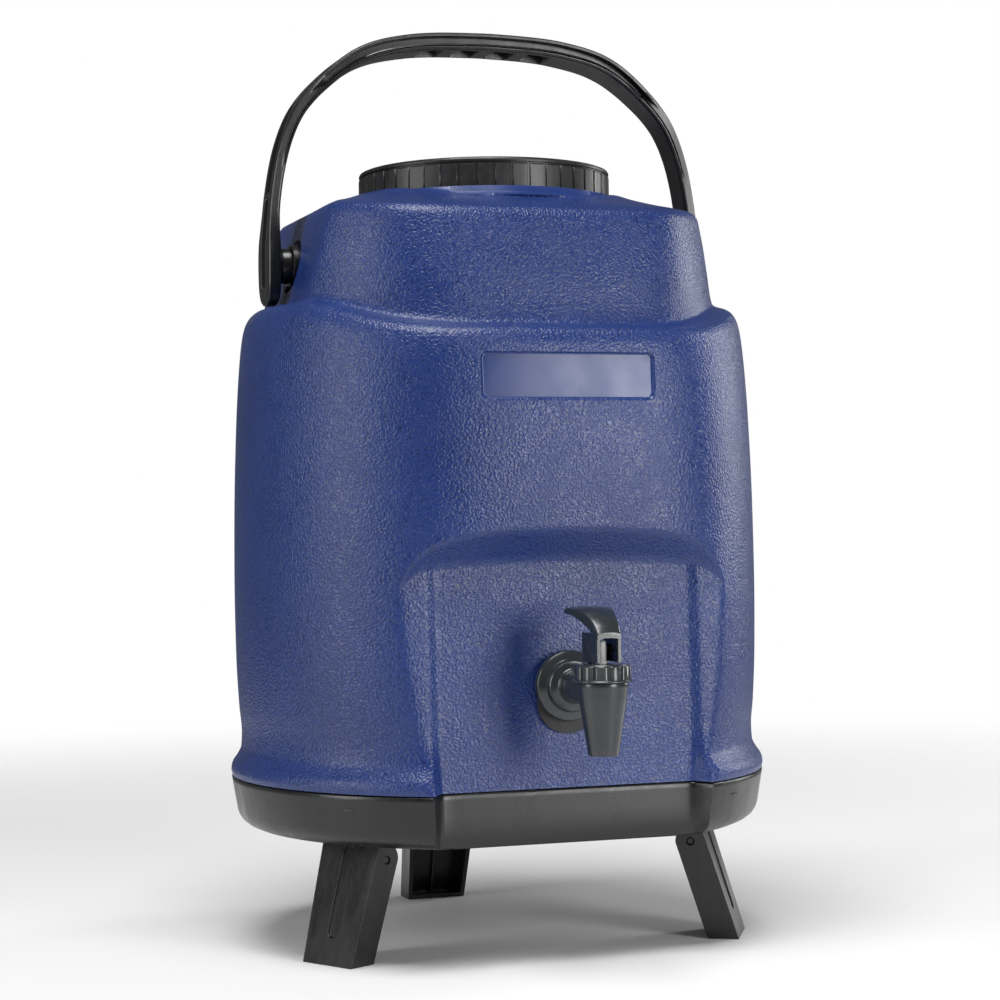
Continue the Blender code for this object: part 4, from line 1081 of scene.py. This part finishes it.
# ---------------------------------------------------------------- bail
@dataclass
class Bail:
    """Arched carrying handle: grooved bow, finger pockets under the grip and slotted hub paddles."""
    datum: Datum
    pockets: int = 4
    pocket_step: float = 0.0215
    pocket_half: float = 0.0068

    # Each row: outward and up from the pivot, width along Y, thickness.
    def path(self) -> list[tuple[float, float, float, float]]:
        """Control stations of one side, hub to crown."""
        return [
            (0.0000, -0.0222, 0.0100, 0.0052), (0.0000, -0.0205, 0.0170, 0.0064),
            (0.0000, -0.0165, 0.0225, 0.0072), (0.0000, -0.0100, 0.0260, 0.0074),
            (0.0000, 0.0000, 0.0272, 0.0074), (-0.0001, 0.0110, 0.0262, 0.0072),
            (-0.0005, 0.0210, 0.0226, 0.0066), (-0.0012, 0.0310, 0.0206, 0.0060),
            (-0.0030, 0.0450, 0.0200, 0.0060), (-0.0062, 0.0610, 0.0200, 0.0062),
            (-0.0103, 0.0740, 0.0204, 0.0064), (-0.0155, 0.0850, 0.0210, 0.0068),
            (-0.0225, 0.0945, 0.0218, 0.0074), (-0.0310, 0.1030, 0.0228, 0.0080),
            (-0.0405, 0.1110, 0.0238, 0.0086), (-0.0505, 0.1175, 0.0248, 0.0092),
            (-0.0620, 0.1222, 0.0256, 0.0096), (-0.0750, 0.1252, 0.0260, 0.0098),
            (-0.0880, 0.1272, 0.0262, 0.0098), (-0.1020, 0.1282, 0.0262, 0.0098),
            (-0.1150, 0.1286, 0.0262, 0.0098)]

    def stations(self) -> tuple[Array, Array]:
        """Refined stations from the left hub to the right one, and the distance of each from its hub end."""
        side = self.path()
        left = [(-self.datum.hub_x - o, u, w, t) for o, u, w, t in side]
        right = [(-x, u, w, t) for x, u, w, t in reversed(left)]
        control = np.array(left + [(0.0, 0.1288, 0.0262, 0.0098)] + right)
        knots = np.concatenate([[0.0], np.cumsum(np.hypot(np.diff(control[:, 0]), np.diff(control[:, 1])))])
        total = knots[-1]
        zones = [(0.0, 0.012, 12), (0.012, 0.070, 58), (0.070, 0.155, 34), (0.155, total - 0.155, 190),
                 (total - 0.155, total - 0.070, 34), (total - 0.070, total - 0.012, 58),
                 (total - 0.012, total, 12)]
        at = spread(zones)
        return smooth_curve(knots, control, at), np.minimum(at, total - at)

    def section(self, width: Array, thick: Array, run: Array, x: Array) -> tuple[Array, Array]:
        """Outline of each station: offsets along Y and outward.

        Args:
            width: Width of each station along Y.
            thick: Thickness of each station.
            run: Distance of each station from its hub end.
            x: Place of each station across the jug.

        Returns:
            Offsets along Y and outward, shaped (stations, points).
        """
        half, deep = width / 2.0, thick / 2.0
        bow = smoothstep((run - 0.122) / 0.014)
        strap = smoothstep((run - 0.062) / 0.002) * smoothstep((0.118 - run) / 0.012)
        slot = smoothstep((run - 0.0085) / 0.0022) * smoothstep((0.0605 - run) / 0.0016)
        trench = np.maximum(0.0019 * strap, 0.0017 * slot)
        trench_half = np.where(run < 0.0613, 0.0042, 0.0052)
        groove = 0.0042 * bow
        thin = 0.0011 * smoothstep((run - 0.075) / 0.02)
        nearest = (self.pockets - 1) / 2.0
        place = np.clip(np.round(x / self.pocket_step + nearest), 0, self.pockets - 1) - nearest
        pocket = 0.0040 * smoothstep((self.pocket_half - np.abs(x - place * self.pocket_step)) / 0.0016)
        rim = 0.0024
        one, none = np.ones_like(half), np.zeros_like(half)
        quarter = [
            (trench_half * 0.4 * one, deep - trench), (trench_half, deep - trench),
            (trench_half + 0.0005, deep - 0.25 * trench), (trench_half + 0.0009, deep),
            (half - 0.0016, deep), (half - 0.0006, deep - 0.0003), (half, deep - 0.0010),
            (half, deep - rim + 0.0002), (half - 0.0003 * bow, deep - rim - 0.0001),
            (half - groove, deep - rim - 0.0004), (half - groove, deep - rim - 0.0028 * bow - 0.0006),
            (half - 0.0004 * bow, deep - rim - 0.0032 * bow - 0.0007), (half, -deep + 0.0026),
            (half - thin, -deep + 0.0021), (half - thin, -deep + 0.0017), (half, -deep + 0.0012),
            (half - 0.0004, -deep + 0.0004), (half - 0.0013, -deep), (half - 0.0034, -deep),
            (half - 0.0040, -deep + 0.9 * pocket), (half - 0.0046, -deep + pocket),
            (0.3 * half, -deep + pocket)]
        y = np.stack([a * one for a, _ in quarter], axis=1)
        n = np.stack([b + none for _, b in quarter], axis=1)
        return np.hstack([y, -y[:, ::-1]]), np.hstack([n, n[:, ::-1]])

    def build(self, material: bpy.types.Material) -> Mesh:
        """Build the handle."""
        station, run = self.stations()
        x, z, width, thick = station.T
        tx, tz = np.gradient(x), np.gradient(z)
        length = np.hypot(tx, tz)
        nx, nz = (-tz / length)[:, None], (tx / length)[:, None]
        along, out = self.section(width, thick, run, x)
        points = np.stack([x[:, None] + out * nx, self.datum.neck_y + along,
                           self.datum.pivot_z + z[:, None] + out * nz], axis=-1)
        bow = skin("bail_skin", points, crease=38.0)
        return dress(bow, material)


# ---------------------------------------------------------------- pivots
@dataclass
class Pivot:
    """Round boss that carries one end of the bail."""
    datum: Datum
    side: Side

    def build(self, material: bpy.types.Material) -> Mesh:
        """Build the stepped boss with its bore."""
        sign = self.side.value
        profile = [(0.0033, 0.1050), (0.0137, 0.1050), (0.0137, 0.1064), (0.0131, 0.1068), (0.0118, 0.1072),
                   (0.0118, 0.1110), (0.0113, 0.1114), (0.0113, 0.1120), (0.0118, 0.1124), (0.0118, 0.1148),
                   (0.0112, 0.1155), (0.0099, 0.1158), (0.0098, 0.1204), (0.0093, 0.1212), (0.0033, 0.1213)]
        centre = (0.0, self.datum.neck_y, self.datum.pivot_z)
        name = "pivot_boss_skin_" + self.side.name.lower()
        return dress(turned(name, [(r, sign * x) for r, x in profile], centre, "X", 64, loop=True), material)


# ---------------------------------------------------------------- tap
@dataclass
class Tap:
    """Push-lever tap: flanged body, fluted bonnet with its fork, and the thumb lever."""
    datum: Datum
    shank_z: float = 0.1458
    face: float = 0.1151
    gasket: float = 0.0024
    flutes: int = 12

    def centre(self) -> Point:
        """A point on the barrel's axis at the table."""
        return (0.0, self.datum.tap_y, 0.0)

    def body(self) -> Mesh:
        """Barrel and flanged neck."""
        barrel = [(0.0060, 0.1300), (0.0060, 0.1142), (0.0063, 0.1137), (0.0073, 0.1136), (0.0078, 0.1139),
                  (0.0080, 0.1146), (0.0086, 0.1190), (0.0098, 0.1270), (0.0108, 0.1335), (0.0116, 0.1380),
                  (0.0123, 0.1430), (0.0128, 0.1478), (0.0131, 0.1496), (0.0129, 0.1502), (0.0108, 0.1505),
                  (0.0108, 0.1574), (0.0090, 0.1574), (0.0088, 0.1302), (0.0066, 0.1300)]
        body = turned("tap_body_skin", barrel, self.centre(), "Z", 96, loop=True)
        back = self.datum.axis_y
        flange = -self.face - self.gasket
        axis = self.datum.tap_y - back
        neck = [(0.0060, axis + 0.0090), (0.0084, axis + 0.0080), (0.0086, flange - 0.0112),
                (0.0089, flange - 0.0102), (0.0098, flange - 0.0094), (0.0128, flange - 0.0087),
                (0.0133, flange - 0.0081), (0.0136, flange - 0.0070), (0.0139, flange - 0.0059),
                (0.0148, flange - 0.0052), (0.0176, flange - 0.0044), (0.0182, flange - 0.0038),
                (0.0184, flange - 0.0030), (0.0184, flange - 0.0003), (0.0181, flange), (0.0086, flange),
                (0.0086, -0.0750), (0.0080, -0.0742), (0.0060, -0.0742)]
        shank = turned("neck", neck, (0.0, back, self.shank_z), "Y", 72, loop=True)
        return gather("tap_body_skin", [body, shank])

    def bonnet(self, tree: bpy.types.NodeTree, material: bpy.types.Material) -> Mesh:
        """Fluted cap nut with the two ears that hold the lever."""
        profile = [(0.0112, 0.1507), (0.0151, 0.1507), (0.0153, 0.1509), (0.0153, 0.1513), (0.0150, 0.1517),
                   (0.0138, 0.1521), (0.0137, 0.1525), (0.0137, 0.1584), (0.0135, 0.1590), (0.0130, 0.1595),
                   (0.0122, 0.1596), (0.0036, 0.1596), (0.0036, 0.1578), (0.0112, 0.1578)]
        parts = [turned("nut", profile, self.centre(), "Z", 72, loop=True)]
        half = math.pi / self.flutes
        rings = []
        for z, shrink in ((0.1519, 0.0), (0.1583, 0.0), (0.1588, 0.0003), (0.1591, 0.0008)):
            ring = [(0.0130, -half * 0.80), (0.0130, half * 0.80)]
            ring += [(0.01405 - shrink, half * 0.80), (0.01440 - shrink, half * 0.66),
                     (0.01440 - shrink, 0.0),
                     (0.01440 - shrink, -half * 0.66), (0.01405 - shrink, -half * 0.80)]
            rings.append([(q * math.cos(a), q * math.sin(a), z) for q, a in ring])
        flat = skin("flat", np.array(rings))
        parts.append(grow("flats", tree, {"Part": flat, "Count": self.flutes, "Start": 0.12,
                                          "Centre": self.centre(), "Finish": material}))
        _, y, z = self.datum.lever_pivot
        for x in (-0.0034, 0.0034):
            outline = [(x - 0.0010, y - 0.0028, 0.1592), (x - 0.0010, y + 0.0030, 0.1592)]
            for k in range(13):
                a = math.pi * k / 12
                outline.append((x - 0.0010, y + 0.0028 * math.cos(a), z + 0.0028 * math.sin(a)))
            parts.append(soften(prism("ear", outline, (0.0020, 0.0, 0.0)), 0.0003))
        return gather("tap_bonnet_skin", parts)

    def lever(self) -> Mesh:
        """Forked lever: two cheeks, a roof and a paddle that sweeps up and back."""
        front, back = -0.0162, 0.0052
        low, roof, top = -0.0060, 0.0064, 0.0086
        half, wall = 0.0064, 0.0015
        arch = [(-half, low), (-half + wall, low), (-half + wall, roof), (half - wall, roof),
                (half - wall, low), (half, low), (half, top - 0.0008), (half - 0.0003, top - 0.0002),
                (half - 0.0010, top), (-half + 0.0010, top), (-half + 0.0003, top - 0.0002),
                (-half, top - 0.0008)]
        rings = [[(x, y, z) for x, z in arch] for y in (front, back)]
        lever = skin("tap_lever_skin", np.array(rings))
        control = np.array([(front - 0.0006, 0.0078, 0.0063, 0.0028),
                            (front + 0.0030, 0.0107, 0.0067, 0.0054),
                            (front + 0.0090, 0.0145, 0.0077, 0.0068),
                            (front + 0.0160, 0.0177, 0.0092, 0.0055),
                            (front + 0.0240, 0.0196, 0.0108, 0.0038),
                            (front + 0.0320, 0.0201, 0.0114, 0.0030),
                            (front + 0.0352, 0.0200, 0.0092, 0.0022)])
        knots = control[:, 0] - control[0, 0]
        rings = []
        for y, z, wide, thick in smooth_curve(knots, control, spread([(0.0, knots[-1], 36)])):
            edge = min(0.0009, 0.4 * thick)
            corner = [(wide - edge * (1 - math.sin(a)), thick / 2 - edge * (1 - math.cos(a)))
                      for a in np.linspace(0.0, math.pi / 2, 5)]
            side = corner + [(x, -dz) for x, dz in reversed(corner)]
            half_ring = [(x * k, dz) for dz, k, x in ((thick / 2, 0.35, wide), (thick / 2, 0.7, wide))] + side
            half_ring += [(wide * 0.7, -thick / 2), (wide * 0.35, -thick / 2)]
            ring = half_ring + [(-x, dz) for x, dz in reversed(half_ring)]
            rings.append([(x, y, z + dz - 0.0011 * (x / wide) ** 2) for x, dz in ring])
        combine(lever, skin("paddle", np.array(rings)), "UNION", 34.0)
        heel = [(0.0022, -0.0300), (0.0022, -0.0066), (0.0062, -0.0034), (0.0200, -0.0034), (0.0200, -0.0300)]
        combine(lever, prism("heel", [(-0.02, y, z) for y, z in heel], (0.04, 0.0, 0.0)))
        combine(lever, turned("hole", [(0.0012, -0.02), (0.0012, 0.02)], (0.0, 0.0, 0.0), "X", 24))
        soften(lever, 0.00035, 2, 34.0)
        lever.data.transform(Matrix.Translation(self.datum.lever_pivot))
        return lever


@dataclass
class Spring:
    """Return spring round the stem."""
    datum: Datum
    turns: int = 5
    steps: int = 36
    sides: int = 12
    low: float = 0.1366
    high: float = 0.1565
    radius: float = 0.0048
    wire: float = 0.0005
    travel: float = 0.0030

    def build(self, material: bpy.types.Material) -> Mesh:
        """Wind the wire, with its end turns closed up."""
        share = np.linspace(0.0, 1.0, self.turns * self.steps + 1)
        rise = share - 0.55 * np.sin(2.0 * math.pi * share) / (2.0 * math.pi)
        turn = 2.0 * math.pi * self.turns * share[:, None]
        round_wire = np.linspace(0.0, 2.0 * math.pi, self.sides, endpoint=False)[None, :]
        reach = self.radius + self.wire * np.cos(round_wire)
        level = (self.low + (self.high - self.low) * rise)[:, None] + self.wire * np.sin(round_wire)
        rings = np.stack([reach * np.cos(turn), self.datum.tap_y + reach * np.sin(turn), level], axis=-1)
        return dress(skin("tap_spring_skin", rings), material)

    def shorten(self, spring: Mesh) -> None:
        """Give the delivered spring a mesh of its own."""
        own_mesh(spring)


# ---------------------------------------------------------------- inner pieces
@dataclass
class Inner:
    """Pieces that keep their own meshes and only take a finish."""

    def dress_all(self, palette: Palette) -> None:
        """Give each kept node its finish."""
        finishes = {
            palette.foam: ("insulation_foam",), palette.liner: ("tank_liner", "tap_stem", "cap_plug"),
            palette.black: ("tap_nut", "leg_pin_1", "leg_pin_2", "leg_pin_3"),
            palette.nylon: ("pivot_washer_left", "pivot_washer_right"),
            palette.rubber: ("cap_gasket", "tap_gasket_outer", "tap_gasket_inner", "tap_seal"),
            palette.steel: ("pivot_pin_left", "pivot_pin_right", "tap_lever_pin")}
        for material, names in finishes.items():
            for name in names:
                dress(bpy.data.objects[name], material)
                LOG.info("%s: kept", name)


# ---------------------------------------------------------------- studio
@dataclass
class Studio:
    """Pale floor, soft lights and the camera."""
    datum: Datum
    azimuth: float = math.radians(-18.67)
    distance: float = 1.35
    height: float = 0.2333
    lens: float = 85.39
    yaw: float = math.radians(0.163)
    pitch: float = math.radians(0.445)
    roll: float = math.radians(-0.823)
    fill: float = 0.14

    def floor(self) -> Mesh:
        """A large pale floor."""
        sheet = Shading("pale_floor")
        reach = sheet.node("ShaderNodeVectorMath", {"0": sheet.place}, "Value", operation="LENGTH")
        fade = sheet.band(reach, 0.40, 1.5, 1.0, 0.0)
        sheet.close(Base_Color=(0.93, 0.93, 0.93, 1.0), Roughness=0.55, Alpha=fade)
        size = 30.0
        corners = np.array([(-size, -size, 0.0), (size, -size, 0.0), (size, size, 0.0), (-size, size, 0.0)])
        mesh = bpy.data.meshes.new("floor")
        mesh.from_pydata(corners.tolist(), [], [(0, 1, 2, 3)])
        floor = bpy.data.objects.new("floor", mesh)
        bpy.context.scene.collection.objects.link(floor)
        floor.data.materials.append(sheet.material)
        return floor

    def light(self, name: str, azimuth: float, height: float, distance: float, size: tuple[float, float],
              power: float, aim: Point = (0.0, 0.0, 0.26)) -> None:
        """An area light at an azimuth from the front, aimed at the jug."""
        lamp = bpy.data.lights.new(name, "AREA")
        lamp.shape, lamp.size, lamp.size_y, lamp.energy = "RECTANGLE", size[0], size[1], power
        a = math.radians(azimuth)
        place = Vector((math.sin(a) * distance, -math.cos(a) * distance, height))
        obj = bpy.data.objects.new(name, lamp)
        obj.location = place
        obj.rotation_euler = (Vector(aim) - place).to_track_quat("-Z", "Y").to_euler()
        bpy.context.scene.collection.objects.link(obj)

    def lights(self) -> None:
        """Two tall soft boxes in front, one overhead and a rim."""
        world = bpy.data.worlds.new("studio_air")
        world.use_nodes = True
        air = world.node_tree
        air.nodes["Background"].inputs["Color"].default_value = (1.0, 1.0, 1.0, 1.0)
        backdrop = air.nodes.new("ShaderNodeMapRange")
        backdrop.inputs["To Min"].default_value, backdrop.inputs["To Max"].default_value = self.fill, 1.0
        air.links.new(air.nodes.new("ShaderNodeLightPath").outputs["Is Camera Ray"], backdrop.inputs["Value"])
        air.links.new(backdrop.outputs["Result"], air.nodes["Background"].inputs["Strength"])
        bpy.context.scene.world = world
        self.light("front_box", 27.0, 0.48, 1.9, (0.62, 1.0), 20.0)
        self.light("left_box", -84.0, 0.60, 1.7, (0.5, 1.2), 11.0)
        self.light("top_box", -30.0, 2.20, 0.6, (1.1, 1.1), 42.0)
        self.light("right_rim", 104.0, 0.70, 1.6, (0.4, 1.1), 9.0)

    def camera(self) -> None:
        """The camera, level with the body and slightly to the left."""
        a = self.azimuth
        forward, right = Vector((-math.sin(a), math.cos(a), 0.0)), Vector((math.cos(a), math.sin(a), 0.0))
        up = Vector((0.0, 0.0, 1.0))
        ahead = forward * math.cos(self.yaw) + right * math.sin(self.yaw)
        across = right * math.cos(self.yaw) - forward * math.sin(self.yaw)
        look = ahead * math.cos(self.pitch) + up * math.sin(self.pitch)
        over = up * math.cos(self.pitch) - ahead * math.sin(self.pitch)
        x_axis = across * math.cos(self.roll) + over * math.sin(self.roll)
        y_axis = over * math.cos(self.roll) - across * math.sin(self.roll)
        place = Vector((0.0, self.datum.axis_y, self.height)) - forward * self.distance
        lens = bpy.data.cameras.new("camera")
        lens.lens, lens.sensor_width, lens.clip_start, lens.clip_end = self.lens, 36.0, 0.05, 60.0
        camera = bpy.data.objects.new("camera", lens)
        frame_axes = Matrix((x_axis, y_axis, -look)).transposed().to_4x4()
        camera.matrix_world = Matrix.Translation(place) @ frame_axes
        bpy.context.scene.collection.objects.link(camera)
        bpy.context.scene.camera = camera

    def build(self) -> None:
        """Set the whole stage."""
        self.floor()
        self.lights()
        self.camera()
        bpy.context.scene.view_settings.view_transform = "Standard"


# ---------------------------------------------------------------- everything
def main() -> None:
    """Build, dress and deliver every piece."""
    logging.basicConfig(level=logging.INFO, stream=sys.stdout, format="%(message)s")
    palette, datum, tree = Palette.mix(), Datum.read(), ring_tree()
    deliver(Shell(datum).build(palette.shell), Body.JUG, ["body_shell"])
    deliver(Base(datum).build(tree, palette.black), Body.JUG, ["base_tray"])
    for index, angle in enumerate((-60.0, 60.0, 180.0), 1):
        leg = "leg_%d" % index
        deliver(Leg(datum, index, angle).build(palette.black), leg, [leg])
    deliver(Cap(datum).build(tree, palette.cap), Body.CAP, ["screw_cap"])
    deliver(Bail(datum).build(palette.bail), Body.HANDLE, ["handle_bail"])
    for side in Side:
        deliver(Pivot(datum, side).build(palette.black), Body.JUG, ["pivot_boss_" + side.name.lower()])
    tap = Tap(datum)
    deliver(dress(tap.body(), palette.tap), Body.JUG, ["tap_body"])
    deliver(dress(tap.bonnet(tree, palette.tap), palette.tap), Body.JUG, ["tap_bonnet"])
    deliver(dress(tap.lever(), palette.tap), Body.LEVER, ["tap_lever"])
    spring = Spring(datum)
    spring.shorten(deliver(spring.build(palette.steel), Body.STEM, ["tap_spring"]))
    Inner().dress_all(palette)
    Studio(datum).build()


if __name__ == "__main__":
    main()
